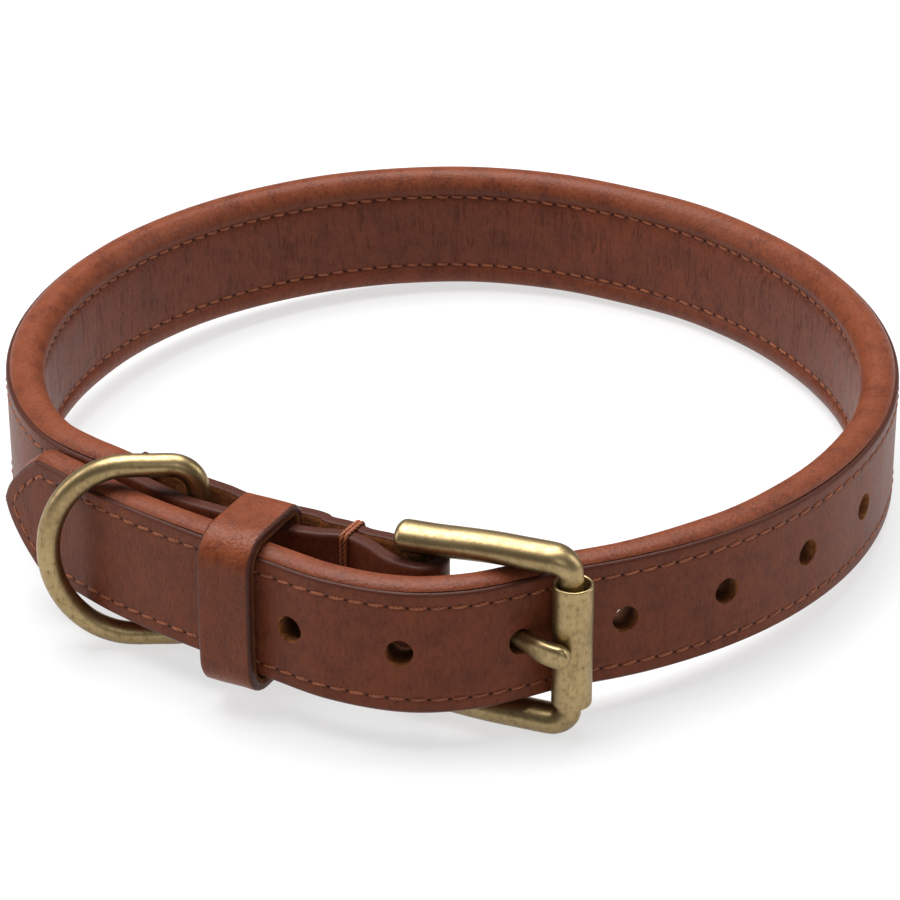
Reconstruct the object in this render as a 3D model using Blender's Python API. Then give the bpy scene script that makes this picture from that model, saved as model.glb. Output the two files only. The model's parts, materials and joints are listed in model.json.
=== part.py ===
"""Padded leather dog collar with a roller buckle, a keeper and a D-ring.

Units are metres and +Z is up. The collar is first laid out in its own plane, with the
lower edge of the strap at height zero and the neck opening around the Z axis. At the end
everything is turned so that it rests on its three lowest points and the box round it is
centred over the origin.

Plan places are given as an angle round the neck and a distance from the axis. The strap
starts at its pointed tip, runs right along the front, once round the neck and back behind
its own tip, then folds round the buckle's heel bar and ends on the inside.
"""

import math

import bmesh
import bpy
import numpy as np
from mathutils import Matrix, Vector

# Strap leather, the outer strip of the collar.
STRAP_WIDTH = 0.0250
STRAP_THICK = 0.0027
STRAP_BEVEL = 0.0006
LOOP_RADIUS = 0.0905

# Padded lining with a rolled edge above and below the strip.
LINING_THICK = 0.0040
ROLL_STAND = 0.0016
TAIL_ROLL_STAND = 0.0013
PANEL_SINK = 0.0003
PANEL_HALF = 0.0086
TIP_LINING_THICK = 0.0030

# Clearances between pieces.
GAP = 0.0003
KEEPER_EASE = 0.0007
LEG_EASE = 0.0004

# Pointed end of the strap.
TIP_LENGTH = 0.0108
TIP_SHAPE = 0.62
TIP_START = 0.0002

# Adjustment holes.
HOLE_COUNT = 7
HOLE_DIAMETER = 0.0050
HOLE_PITCH = 0.0215
TONGUE_HOLE = 2
TONGUE_HOLE_ANGLE = -82.7

# Places round the neck in degrees.
TIP_ANGLE = -155.3
LINING_END_ANGLE = 222.0
STRAP_END_ANGLE = 218.0
D_BAR_ANGLE = 231.3
KEEPER_ANGLE = 244.0
HEEL_ANGLE = 264.4

# Buckle.
HEEL_BAR = 0.0038
LEG_THICK = 0.0054
FRONT_BAR = 0.0046
FRAME_CORNER = 0.0034
FRAME_REACH = 0.0297
FRAME_TURN = -20.6
FOLD_SLACK = 0.0013
ROLLER_DIAMETER = 0.0075
ROLLER_WALL = 0.0007
ROLLER_LENGTH = 0.0250

# Tongue.
TONGUE_THICK = 0.0030
TONGUE_TIP_WIDTH = 0.0044
TONGUE_TIP_THICK = 0.0026
TONGUE_EYE_THICK = 0.0018
TONGUE_PAST_ROLLER = 0.0012
SLOT_EASE = 0.0005

# Keeper.
KEEPER_WIDTH = 0.0110
KEEPER_THICK = 0.0024
KEEPER_FRONT = 0.0156
KEEPER_CORNER = 0.0040
KEEPER_BACK_CORNER = 0.0020
KEEPER_CROWN = 0.0004

# D-ring.
D_WIRE = 0.0045
D_HALF_HEIGHT = 0.0183
D_STRAIGHT = 0.0128
D_BOW = 0.0160
D_CORNER = 0.0050
D_DROP = 0.0004
D_DIRECTION = 181.5

# Outer face of the strap: angle in degrees, distance beyond LOOP_RADIUS.
FACE_ROWS = (
    (-155.3, 0.0056),
    (-149.0, 0.0029),
    (-143.6, 0.0010),
    (-137.0, 0.0001),
    (-128.0, -0.0006),
    (-120.0, -0.0001),
    (-111.0, 0.0027),
    (-104.0, 0.0058),
    (-95.0, 0.0079),
    (-88.0, 0.0067),
    (-82.0, 0.0038),
    (-77.0, 0.0016),
    (-70.0, 0.0010),
    (-60.0, 0.0008),
    (-30.0, 0.0004),
    (0.0, -0.0005),
    (30.0, -0.0014),
    (60.0, -0.0006),
    (90.0, 0.0013),
    (120.0, 0.0008),
    (150.0, 0.0003),
    (180.0, 0.0001),
    (195.6, -0.0007),
    (205.2, -0.0022),
    (211.0, -0.0045),
    (217.0, -0.0071),
    (223.0, -0.0086),
    (231.3, -0.0089),
    (238.0, -0.0099),
    (242.0, -0.0100),
    (249.0, -0.0100),
    (252.0, -0.0103),
    (255.2, -0.0109),
    (258.5, -0.0085),
    (262.0, -0.0040),
    (265.3, -0.0018),
    (268.5, -0.0016),
)


def hermite(rows, value):
    """Smooth value of a two-column table at one place."""
    count = len(rows)
    index = 0
    while index < count - 2 and value > rows[index + 1][0]:
        index += 1
    start, end = rows[index], rows[index + 1]
    span = end[0] - start[0]
    before = rows[max(index - 1, 0)]
    after = rows[min(index + 2, count - 1)]
    slope_start = (end[1] - before[1]) / (end[0] - before[0])
    slope_end = (after[1] - start[1]) / (after[0] - start[0])
    t = (value - start[0]) / span
    first = (2 * t**3 - 3 * t**2 + 1) * start[1] + (t**3 - 2 * t**2 + t) * span * slope_start
    second = (-2 * t**3 + 3 * t**2) * end[1] + (t**3 - t**2) * span * slope_end
    return first + second


def face_point(angle):
    """Point of the strap's outer face in plan."""
    radius = LOOP_RADIUS + hermite(FACE_ROWS, angle)
    turn = math.radians(angle)
    return np.array([radius * math.cos(turn), radius * math.sin(turn)])


def face_frame(angle):
    """Point, forward direction and outward direction of the outer face at an angle."""
    step = 0.05
    ahead = face_point(min(angle + step, FACE_ROWS[-1][0]))
    behind = face_point(max(angle - step, FACE_ROWS[0][0]))
    along = (ahead - behind) / np.linalg.norm(ahead - behind)
    return face_point(angle), along, np.array([along[1], -along[0]])


def inward(angle, depth):
    """Point at a depth behind the strap's outer face."""
    point, _, outward = face_frame(angle)
    return point - outward * depth


HEEL_CENTRE = inward(HEEL_ANGLE, STRAP_THICK + GAP + HEEL_BAR / 2)
D_BAR_CENTRE = inward(D_BAR_ANGLE, STRAP_THICK + GAP + D_WIRE / 2)
FRAME_ALONG = np.array([math.cos(math.radians(FRAME_TURN)), math.sin(math.radians(FRAME_TURN))])
FRAME_OUT = np.array([FRAME_ALONG[1], -FRAME_ALONG[0]])
ROLLER_PLAY = (ROLLER_DIAMETER - FRONT_BAR) / 2 - ROLLER_WALL - GAP
ROLLER_CENTRE = HEEL_CENTRE + FRAME_ALONG * (FRAME_REACH + ROLLER_PLAY)
MIDDLE = STRAP_WIDTH / 2
TAIL_HALF = MIDDLE + TAIL_ROLL_STAND
LEG_HALF = TAIL_HALF + LEG_EASE + LEG_THICK / 2

# Clear space between the two layers behind the tail: angle in degrees, width.
SPACE_ROWS = (
    (STRAP_END_ANGLE - 4, LINING_THICK + 2 * GAP),
    (LINING_END_ANGLE, LINING_THICK + 2 * GAP),
    (D_BAR_ANGLE - 3, D_WIRE + 2 * GAP),
    (D_BAR_ANGLE + 3, D_WIRE + 2 * GAP),
    (KEEPER_ANGLE - 5, KEEPER_THICK + 2 * KEEPER_EASE),
    (KEEPER_ANGLE + 6, KEEPER_THICK + 2 * KEEPER_EASE),
    (255.5, 2 * GAP),
    (257.0, 2 * GAP),
    (HEEL_ANGLE - 3, HEEL_BAR + 2 * GAP),
    (HEEL_ANGLE, HEEL_BAR + 2 * GAP),
)


def strap_mid_line():
    """Dense plan line through the middle of the strip's thickness, tip to turned-back end."""
    half = STRAP_THICK / 2
    line = []
    for angle in np.arange(TIP_ANGLE, HEEL_ANGLE, 0.25):
        line.append(inward(angle, half))
    _, along, outward = face_frame(HEEL_ANGLE)
    centre = HEEL_CENTRE + along * FOLD_SLACK
    bend = HEEL_BAR / 2 + GAP + half
    for turn in np.linspace(-90.0, 90.0, 37):
        swing = math.radians(turn)
        line.append(centre + along * bend * math.cos(swing) - outward * bend * math.sin(swing))
    for angle in np.arange(HEEL_ANGLE, STRAP_END_ANGLE, -0.25):
        depth = STRAP_THICK + hermite(SPACE_ROWS, angle) + half
        line.append(inward(angle, depth))
    return np.array(line)


class PlanPath:
    """Plan line measured by the distance run along it."""

    def __init__(self, points):
        steps = np.linalg.norm(np.diff(points, axis=0), axis=1)
        keep = np.concatenate([[True], steps > 1e-6])
        self.points = points[keep]
        steps = np.linalg.norm(np.diff(self.points, axis=0), axis=1)
        self.run = np.concatenate([[0.0], np.cumsum(steps)])
        self.length = float(self.run[-1])

    def at(self, distance):
        """Point at a distance along the line."""
        x = np.interp(distance, self.run, self.points[:, 0])
        y = np.interp(distance, self.run, self.points[:, 1])
        return np.array([x, y])

    def frame(self, distance):
        """Point, forward direction and outward direction at a distance."""
        step = 0.0006
        ahead = self.at(min(distance + step, self.length))
        behind = self.at(max(distance - step, 0.0))
        along = (ahead - behind) / np.linalg.norm(ahead - behind)
        return self.at(distance), along, np.array([along[1], -along[0]])

    def nearest(self, point, limit):
        """Distance along the line of its point nearest to a place, up to a limit."""
        inside = self.run <= limit
        apart = np.linalg.norm(self.points[inside] - point, axis=1)
        return float(self.run[inside][int(np.argmin(apart))])

    def stations(self, start, end, coarse, fine):
        """Distances along the line, closer together where it bends."""
        places = [start]
        while places[-1] < end:
            here = places[-1]
            _, first, _ = self.frame(here)
            _, second, _ = self.frame(min(here + coarse / 2, self.length))
            turn = math.acos(max(-1.0, min(1.0, float(first @ second))))
            step = coarse if turn < 0.055 else max(fine, coarse * 0.055 / turn)
            places.append(min(here + step, end))
        if len(places) > 2 and places[-1] - places[-2] < fine:
            places.pop(-2)
        return places


def loft(rings, closed=False):
    """Mesh of a skin over rings of points, capped at both ends unless it is closed."""
    mesh = bmesh.new()
    rows = [[mesh.verts.new(point) for point in ring] for ring in rings]
    count = len(rings[0])
    last = len(rows) if closed else len(rows) - 1
    for row in range(last):
        here, beyond = rows[row], rows[(row + 1) % len(rows)]
        for index in range(count):
            after = (index + 1) % count
            mesh.faces.new((here[index], here[after], beyond[after], beyond[index]))
    if not closed:
        mesh.faces.new(rows[0])
        mesh.faces.new(list(reversed(rows[-1])))
    bmesh.ops.recalc_face_normals(mesh, faces=mesh.faces)
    return mesh


def material(name, colour, roughness, metallic=0.0):
    """Plain shaded material."""
    made = bpy.data.materials.new(name)
    made.use_nodes = True
    shader = made.node_tree.nodes["Principled BSDF"]
    shader.inputs["Base Color"].default_value = (*colour, 1.0)
    shader.inputs["Roughness"].default_value = roughness
    shader.inputs["Metallic"].default_value = metallic
    return made


def make_object(name, mesh, made, smooth=True):
    """Named object from a bmesh."""
    if mesh.calc_volume(signed=True) < 0:
        bmesh.ops.reverse_faces(mesh, faces=mesh.faces)
    data = bpy.data.meshes.new(name)
    mesh.to_mesh(data)
    mesh.free()
    for face in data.polygons:
        face.use_smooth = smooth
    data.materials.append(made)
    thing = bpy.data.objects.new(name, data)
    bpy.context.scene.collection.objects.link(thing)
    return thing


def cut(thing, cutters):
    """Takes cutter bodies out of an object and removes them."""
    for cutter in cutters:
        cutter.hide_render = True
        cutter.display_type = "WIRE"
        change = thing.modifiers.new("cut", "BOOLEAN")
        change.operation = "DIFFERENCE"
        change.solver = "EXACT"
        change.object = cutter
        bpy.context.view_layer.update()
        depsgraph = bpy.context.evaluated_depsgraph_get()
        result = bpy.data.meshes.new_from_object(thing.evaluated_get(depsgraph))
        thing.modifiers.clear()
        old = thing.data
        thing.data = result
        bpy.data.meshes.remove(old)
        result.name = thing.name
        bpy.data.objects.remove(cutter)


def tip_share(distance):
    """Share of the full half width at a distance from the tip."""
    if distance >= TIP_LENGTH:
        return 1.0
    return (max(distance, TIP_START) / TIP_LENGTH) ** TIP_SHAPE


def placed(point, outward, depth, height):
    """World point beside the mid line."""
    spot = point + outward * depth
    return Vector((spot[0], spot[1], height))


def strap_ring(path, distance):
    """Section of the outer strip at a distance along it."""
    point, _, outward = path.frame(distance)
    half = MIDDLE * tip_share(distance)
    bevel = min(STRAP_BEVEL, half * 0.4)
    thick = STRAP_THICK / 2
    corners = (
        (thick, half - bevel),
        (thick - bevel, half),
        (bevel - thick, half),
        (-thick, half - bevel),
    )
    upper = [placed(point, outward, depth, MIDDLE + rise) for depth, rise in corners]
    lower = [placed(point, outward, depth, MIDDLE - rise) for depth, rise in reversed(corners)]
    return upper + lower


def roll_stand(distance, tail_end):
    """Height of the lining's roll beyond the strip, lower along the tail."""
    blend = min(max((distance - tail_end) / 0.02, 0.0), 1.0)
    return TAIL_ROLL_STAND + (ROLL_STAND - TAIL_ROLL_STAND) * blend


def lining_ring(path, distance, tail_end):
    """Section of the padded lining at a distance along the strap."""
    point, _, outward = path.frame(distance)
    share = tip_share(distance)
    grow = min(distance / (2 * TIP_LENGTH), 1.0)
    thick = TIP_LINING_THICK + (LINING_THICK - TIP_LINING_THICK) * grow
    half = MIDDLE * share + roll_stand(distance, tail_end) * min(1.0, 0.35 + share)
    front = -(STRAP_THICK / 2 + GAP)
    roll = thick / 2
    centre = max(half - roll, 0.0004)
    corners = []
    for turn in (72, 36, 0, -36, -72, -106):
        swing = math.radians(turn)
        rise = centre + (half - centre) * math.cos(swing)
        least = 0.0003 + 0.00002 * (72 - turn) / 36
        corners.append((front - roll + roll * math.sin(swing), max(rise, least)))
    inner = min(PANEL_HALF, max(centre - 0.0026, 0.0002))
    edge = min(inner + 0.0012, max(centre - 0.0012, 0.00025))
    corners.append((front - thick + PANEL_SINK * 0.55 * share, edge))
    corners.append((front - thick + PANEL_SINK * share, inner))
    upper = [placed(point, outward, depth, MIDDLE + rise) for depth, rise in corners]
    lower = [placed(point, outward, depth, MIDDLE - rise) for depth, rise in reversed(corners)]
    return upper + lower


def round_cutter(start, end, radius, sides=16):
    """Cylinder from one point to another."""
    axis = (end - start).normalized()
    across = axis.orthogonal().normalized()
    other = axis.cross(across)
    rings = []
    for centre in (start, end):
        ring = []
        for side in range(sides):
            turn = 2 * math.pi * (side + 0.5) / sides
            ring.append(centre + (across * math.cos(turn) + other * math.sin(turn)) * radius)
        rings.append(ring)
    return make_object("cutter", loft(rings), CUTTER, smooth=False)


def box_cutter(centre, along, outward, sizes):
    """Box set along plan directions: sizes hold low and high along, low and high out, height."""
    low_along, high_along, low_out, high_out, tall = sizes
    rings = []
    for distance in (low_along, high_along):
        ring = []
        for out, rise in ((low_out, -tall), (high_out, -tall), (high_out, tall), (low_out, tall)):
            spot = centre + along * distance + outward * out
            ring.append(Vector((spot[0], spot[1], MIDDLE + rise)))
        rings.append(ring)
    return make_object("cutter", loft(rings), CUTTER, smooth=False)


def tongue_line():
    """Plan points of the tongue's middle from the heel bar to its tip."""
    eye = HEEL_BAR / 2 + GAP * 1.5 + TONGUE_EYE_THICK / 2
    hole, along, outward = face_frame(TONGUE_HOLE_ANGLE)
    points = []
    for turn in range(-200, 46, 15):
        swing = math.radians(turn)
        away = FRAME_ALONG * math.sin(swing) + FRAME_OUT * math.cos(swing)
        points.append(HEEL_CENTRE + away * eye)
    depth = STRAP_THICK + GAP + LINING_THICK
    points.append(hole - outward * (depth + 0.0026) - along * 0.0062)
    points.append(hole - outward * depth * 0.72 - along * 0.0030)
    points.append(hole - outward * depth * 0.2 + along * 0.0004)
    points.append(hole + outward * 0.0022 + along * 0.0028)
    lift = ROLLER_DIAMETER / 2 + GAP + TONGUE_TIP_THICK / 2
    points.append(ROLLER_CENTRE - FRAME_ALONG * 0.0026 + FRAME_OUT * lift)
    points.append(ROLLER_CENTRE + FRAME_ALONG * TONGUE_PAST_ROLLER + FRAME_OUT * lift)
    return points


def smooth_line(points, count):
    """Evenly spaced points on a smooth curve through control points."""
    points = np.array(points)
    apart = np.sqrt(np.linalg.norm(np.diff(points, axis=0), axis=1))
    knots = np.concatenate([[0.0], np.cumsum(apart)])
    dense = []
    rows = [list(zip(knots, points[:, axis])) for axis in range(2)]
    for value in np.linspace(0.0, knots[-1], 600):
        dense.append([hermite(row, value) for row in rows])
    line = PlanPath(np.array(dense))
    return line, [line.length * index / (count - 1) for index in range(count)]


def make_tongue():
    """Buckle tongue: an eye round the heel bar and a shank that lies on the roller."""
    line, places = smooth_line(tongue_line(), 30)
    hole_run = line.nearest(face_point(TONGUE_HOLE_ANGLE), line.length)
    rings = []
    for distance in places:
        point, _, outward = line.frame(distance)
        wide = TONGUE_THICK / 2
        thick = TONGUE_EYE_THICK / 2
        eye_end = hole_run * 0.62
        grow = min(max((distance - eye_end * 0.75) / (eye_end * 0.25), 0.0), 1.0)
        thick += (TONGUE_THICK / 2 - thick) * grow
        spread = min(max((distance - hole_run) / 0.005, 0.0), 1.0)
        wide += (TONGUE_TIP_WIDTH / 2 - wide) * spread
        thick += (TONGUE_TIP_THICK / 2 - thick) * spread
        left = line.length - distance
        close = math.sqrt(max(1.0 - (1.0 - min(left / 0.0022, 1.0)) ** 2, 0.06))
        ring = []
        for side in range(10):
            turn = 2 * math.pi * side / 10
            depth = thick * math.cos(turn) * (0.5 + 0.5 * close)
            ring.append(placed(point, outward, depth, MIDDLE + wide * math.sin(turn) * close))
        rings.append(ring)
    return make_object("buckle_tongue", loft(rings), BRASS)


def frame_rows():
    """Middle line of the buckle frame as rows of along, rise and radius."""
    corner = FRAME_CORNER
    rows = []
    heel = HEEL_BAR / 2
    leg = LEG_THICK / 2
    front = FRONT_BAR / 2
    for rise in (0.0, MIDDLE * 0.55, MIDDLE * 0.92):
        rows.append((0.0, rise, heel))
    rows.append((0.0, LEG_HALF - corner, heel + (leg - heel) * 0.3))
    for turn in (25, 50, 75):
        swing = math.radians(turn)
        rise = LEG_HALF - corner + corner * math.sin(swing)
        rows.append((corner - corner * math.cos(swing), rise, leg))
    for share in (0.0, 0.25, 0.5, 0.75, 1.0):
        along = corner + (FRAME_REACH - 2 * corner) * share
        rows.append((along, LEG_HALF, leg - (leg - front) * 0.12 * share))
    for turn in (20, 42, 65, 90):
        swing = math.radians(turn)
        along = FRAME_REACH - corner + corner * math.sin(swing)
        rise = LEG_HALF - corner + corner * math.cos(swing)
        rows.append((along, rise, leg + (front - leg) * (0.12 + 0.88 * turn / 90)))
    rows.append((FRAME_REACH, MIDDLE * 0.9, front))
    rows.append((FRAME_REACH, MIDDLE * 0.45, front))
    mirrored = [(along, -rise, radius) for along, rise, radius in reversed(rows[1:])]
    return rows + [(FRAME_REACH, 0.0, front)] + mirrored


def wire_ring(rows, centre, along, out, sides):
    """Closed round wire through rows of along, rise and radius set in an upright plane."""
    count = len(rows)
    rings = []
    for index in range(count):
        here = rows[index]
        ahead = rows[(index + 1) % count]
        behind = rows[index - 1]
        run = math.hypot(ahead[0] - behind[0], ahead[1] - behind[1])
        side_along = -(ahead[1] - behind[1]) / run
        side_rise = (ahead[0] - behind[0]) / run
        ring = []
        for step in range(sides):
            turn = 2 * math.pi * step / sides
            shift = here[2] * math.cos(turn)
            push = here[2] * math.sin(turn)
            spot = centre + along * (here[0] + side_along * shift) + out * push
            ring.append(Vector((spot[0], spot[1], MIDDLE + here[1] + side_rise * shift)))
        rings.append(ring)
    return loft(rings, closed=True)


def make_frame():
    """Buckle frame: heel bar, two heavy sides and the front bar under the roller."""
    mesh = wire_ring(frame_rows(), HEEL_CENTRE, FRAME_ALONG, FRAME_OUT, 12)
    return make_object("buckle_frame", mesh, BRASS)


def make_roller():
    """Thin tube that turns on the buckle's front bar."""
    outer = ROLLER_DIAMETER / 2
    inner = outer - ROLLER_WALL
    half = ROLLER_LENGTH / 2
    lip = ROLLER_WALL * 0.35
    section = (
        (inner, half - lip),
        (inner + lip, half),
        (outer - lip, half),
        (outer, half - lip),
        (outer, lip - half),
        (outer - lip, -half),
        (inner + lip, -half),
        (inner, lip - half),
    )
    rings = []
    for step in range(28):
        turn = 2 * math.pi * step / 28
        away = np.array([math.cos(turn), math.sin(turn)])
        ring = []
        for radius, rise in section:
            spot = ROLLER_CENTRE + away * radius
            ring.append(Vector((spot[0], spot[1], MIDDLE + rise)))
        rings.append(ring)
    return make_object("buckle_roller", loft(rings, closed=True), BRASS)


def rounded_box(low, high, tall, front_corner, back_corner, crown):
    """Points round a box with round corners, crowned outward on its high side."""
    points = []
    centres = ((high, tall, 0), (low, tall, 90), (low, -tall, 180), (high, -tall, 270))
    for out, rise, start in centres:
        corner = front_corner if out == high else back_corner
        out_centre = out - corner if out == high else out + corner
        rise_centre = rise - corner if rise > 0 else rise + corner
        for step in range(5):
            turn = math.radians(start + 90 * step / 4)
            push = out_centre + corner * math.cos(turn)
            lift = rise_centre + corner * math.sin(turn)
            share = 1.0 - (lift / tall) ** 2
            points.append((push + (crown * share if push > (low + high) / 2 else 0.0), lift))
        if out == high and rise < 0:
            points.append((high + crown, 0.0))
    return points


def make_keeper():
    """Leather loop that holds the tail against the folded layer."""
    flesh, along, outward = face_frame(KEEPER_ANGLE)
    sag = KEEPER_WIDTH**2 / (8 * LOOP_RADIUS)
    base = flesh - outward * (STRAP_THICK + sag)
    tall = TAIL_HALF + LEG_EASE
    front = KEEPER_CORNER
    back = KEEPER_BACK_CORNER
    thick = KEEPER_THICK
    inner = rounded_box(-KEEPER_EASE, KEEPER_FRONT, tall, front, back, KEEPER_CROWN)
    outer = rounded_box(-KEEPER_EASE - thick, KEEPER_FRONT + thick, tall + thick,
                        front + thick, back + thick, KEEPER_CROWN)
    half = KEEPER_WIDTH / 2
    bevel = KEEPER_THICK * 0.2
    rings = []
    for inside, outside in zip(inner, outer):
        ring = []
        steps = ((outside, -half + bevel), (outside, half - bevel), (None, half),
                 (inside, half - bevel * 0.5), (inside, bevel * 0.5 - half), (None, -half))
        for place, distance in steps:
            if place is None:
                place = tuple(0.25 * a + 0.75 * b for a, b in zip(inside, outside))
            spot = base + outward * place[0] + along * distance
            ring.append(Vector((spot[0], spot[1], MIDDLE + place[1])))
        rings.append(ring)
    return make_object("keeper", loft(rings, closed=True), STRAP_LEATHER)


def d_rows():
    """Middle line of the D-ring as rows of along, rise and radius."""
    radius = D_WIRE / 2
    rows = [(0.0, rise, radius) for rise in (0.0, D_HALF_HEIGHT * 0.4, D_HALF_HEIGHT - D_CORNER)]
    for turn in (22, 45, 68, 90):
        swing = math.radians(turn)
        rise = D_HALF_HEIGHT - D_CORNER + D_CORNER * math.sin(swing)
        rows.append((D_CORNER - D_CORNER * math.cos(swing), rise, radius))
    rows.append(((D_CORNER + D_STRAIGHT) / 2, D_HALF_HEIGHT, radius))
    for step in range(10):
        swing = math.radians(90 - 9.5 * step)
        rows.append((D_STRAIGHT + D_BOW * math.cos(swing), D_HALF_HEIGHT * math.sin(swing), radius))
    mirrored = [(along, -rise, size) for along, rise, size in reversed(rows[1:])]
    return rows + [(D_STRAIGHT + D_BOW, 0.0, radius)] + mirrored


def make_d_ring():
    """D-ring with its straight bar between the two layers, its origin on the bar."""
    turn = math.radians(D_DIRECTION)
    along = np.array([math.cos(turn), math.sin(turn)])
    out = np.array([along[1], -along[0]])
    mesh = wire_ring(d_rows(), np.zeros(2), along, out, 12)
    thing = make_object("d_ring", mesh, BRASS)
    thing.location = (D_BAR_CENTRE[0], D_BAR_CENTRE[1], -D_DROP)
    return thing


def hole_places(path):
    """Distances along the strap of the adjustment holes."""
    middle = path.nearest(inward(TONGUE_HOLE_ANGLE, STRAP_THICK / 2), path.length * 0.4)
    return [middle + HOLE_PITCH * (index - TONGUE_HOLE) for index in range(HOLE_COUNT)]


def hole_cutters(path):
    """Cutters for the round holes, the tongue's own one set along the tongue."""
    cutters = []
    reach = STRAP_THICK + LINING_THICK + GAP
    for index, distance in enumerate(hole_places(path)):
        point, along, outward = path.frame(distance)
        lean = 0.0
        radius = HOLE_DIAMETER / 2
        if index == TONGUE_HOLE:
            lean = 0.66
        start = point + (outward + along * lean) * STRAP_THICK * 1.5
        end = point - (outward + along * lean) * (reach + 0.001)
        cutters.append(round_cutter(Vector((*start, MIDDLE)), Vector((*end, MIDDLE)), radius))
    return cutters


def mesh_points(thing):
    """Corner points of an object in the collar's frame."""
    return [thing.matrix_world @ corner.co for corner in thing.data.vertices]


def mass_centre(things):
    """Centre of mass of the collar, metal counted heavier than leather."""
    total = 0.0
    moment = Vector((0.0, 0.0, 0.0))
    for thing in things:
        density = 8500.0 if thing.data.materials[0] == BRASS else 900.0
        mesh = bmesh.new()
        mesh.from_mesh(thing.data)
        bmesh.ops.triangulate(mesh, faces=mesh.faces)
        for face in mesh.faces:
            first, second, third = [thing.matrix_world @ corner.co for corner in face.verts]
            volume = first.dot(second.cross(third)) / 6 * density
            total += volume
            moment += (first + second + third) / 4 * volume
        mesh.free()
    return moment / total


def resting_turn(things):
    """Turn that lays the face of the hull under the centre of mass flat on the ground."""
    centre = mass_centre(things)
    hull = bmesh.new()
    for thing in things:
        for point in mesh_points(thing):
            hull.verts.new(point)
    bmesh.ops.convex_hull(hull, input=hull.verts)
    hull.faces.ensure_lookup_table()
    best = None
    for face in hull.faces:
        normal = face.normal
        if normal.z > -0.9:
            continue
        height = (face.verts[0].co - centre).dot(normal) / normal.z
        foot = centre + Vector((0.0, 0.0, height))
        inside = True
        corners = [corner.co for corner in face.verts]
        for index, corner in enumerate(corners):
            edge = corners[(index + 1) % len(corners)] - corner
            if edge.cross(foot - corner).dot(normal) < -1e-12:
                inside = False
        if inside:
            best = normal.copy()
    hull.free()
    if best is None:
        best = Vector((0.0, 0.0, -1.0))
    return best.rotation_difference(Vector((0.0, 0.0, -1.0))).to_matrix().to_4x4()


def rest_collar(things):
    """Turns and moves every piece so that the collar rests over the origin."""
    bpy.context.view_layer.update()
    turn = resting_turn(things)
    points = [turn @ point for thing in things for point in mesh_points(thing)]
    lows = [min(point[axis] for point in points) for axis in range(3)]
    highs = [max(point[axis] for point in points) for axis in range(3)]
    shift = Vector((-(lows[0] + highs[0]) / 2, -(lows[1] + highs[1]) / 2, -lows[2]))
    move = Matrix.Translation(shift) @ turn
    for thing in things:
        if thing.location.length > 0.001:
            thing.matrix_world = move @ thing.matrix_world
        else:
            thing.data.transform(move)
            thing.data.update()
    return move


for old_thing in list(bpy.data.objects):
    bpy.data.objects.remove(old_thing)

STRAP_LEATHER = material("strap_leather", (0.155, 0.040, 0.016), 0.42)
LINING_LEATHER = material("lining_leather", (0.165, 0.043, 0.018), 0.48)
BRASS = material("antique_brass", (0.36, 0.27, 0.12), 0.38, 1.0)
CUTTER = material("cutter_only", (0.5, 0.5, 0.5), 0.5)

STRAP_PATH = PlanPath(strap_mid_line())
LINING_CORNER = inward(LINING_END_ANGLE, STRAP_THICK / 2)
LINING_END = STRAP_PATH.nearest(LINING_CORNER, STRAP_PATH.length * 0.84)
TAIL_END = STRAP_PATH.nearest(inward(-70.0, STRAP_THICK / 2), STRAP_PATH.length * 0.3)
TIP_PLACES = [TIP_START, 0.0007, 0.0018, 0.0036, 0.0060, 0.0085]


def make_strap():
    """Outer strip from the pointed tip to the turned-back end, holes and slot cut."""
    places = TIP_PLACES + STRAP_PATH.stations(TIP_LENGTH, STRAP_PATH.length, 0.0068, 0.0016)
    rings = [strap_ring(STRAP_PATH, place) for place in places]
    thing = make_object("strap", loft(rings), STRAP_LEATHER)
    _, along, outward = face_frame(HEEL_ANGLE)
    bend = HEEL_BAR / 2 + GAP + STRAP_THICK
    tall = TONGUE_TIP_WIDTH / 2 + SLOT_EASE
    sizes = (-bend - 0.0018, bend + FOLD_SLACK + 0.002, -bend - 0.001, bend + 0.001, tall)
    cut(thing, hole_cutters(STRAP_PATH) + [box_cutter(HEEL_CENTRE, along, outward, sizes)])
    return thing


def make_lining():
    """Padded lining from the tip to the start of the folded part, holes cut."""
    places = TIP_PLACES + STRAP_PATH.stations(TIP_LENGTH, LINING_END, 0.0072, 0.0030)
    rings = [lining_ring(STRAP_PATH, place, TAIL_END) for place in places]
    thing = make_object("lining", loft(rings), LINING_LEATHER)
    cut(thing, hole_cutters(STRAP_PATH))
    return thing


COLLAR = [
    make_strap(),
    make_lining(),
    make_keeper(),
    make_frame(),
    make_roller(),
    make_tongue(),
    make_d_ring(),
]
bpy.data.materials.remove(CUTTER)
REST_MOVE = rest_collar(COLLAR)
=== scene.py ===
"""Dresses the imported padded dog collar: leather, lining, thread, brass, light and camera.

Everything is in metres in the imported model's frame, +Z up. The collar is laid out first in
its own plane, where a place is a run along the strip from its pointed tip, a depth out of
the strip's middle and a rise from its middle height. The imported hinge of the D-ring then
says how that plane lies in the frame.
"""

from __future__ import annotations

import json
import logging
import math
from collections.abc import Callable
from dataclasses import dataclass, field
from enum import Enum

import bmesh
import bpy
import numpy as np
from mathutils import Matrix, Vector
from mathutils.kdtree import KDTree


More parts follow.
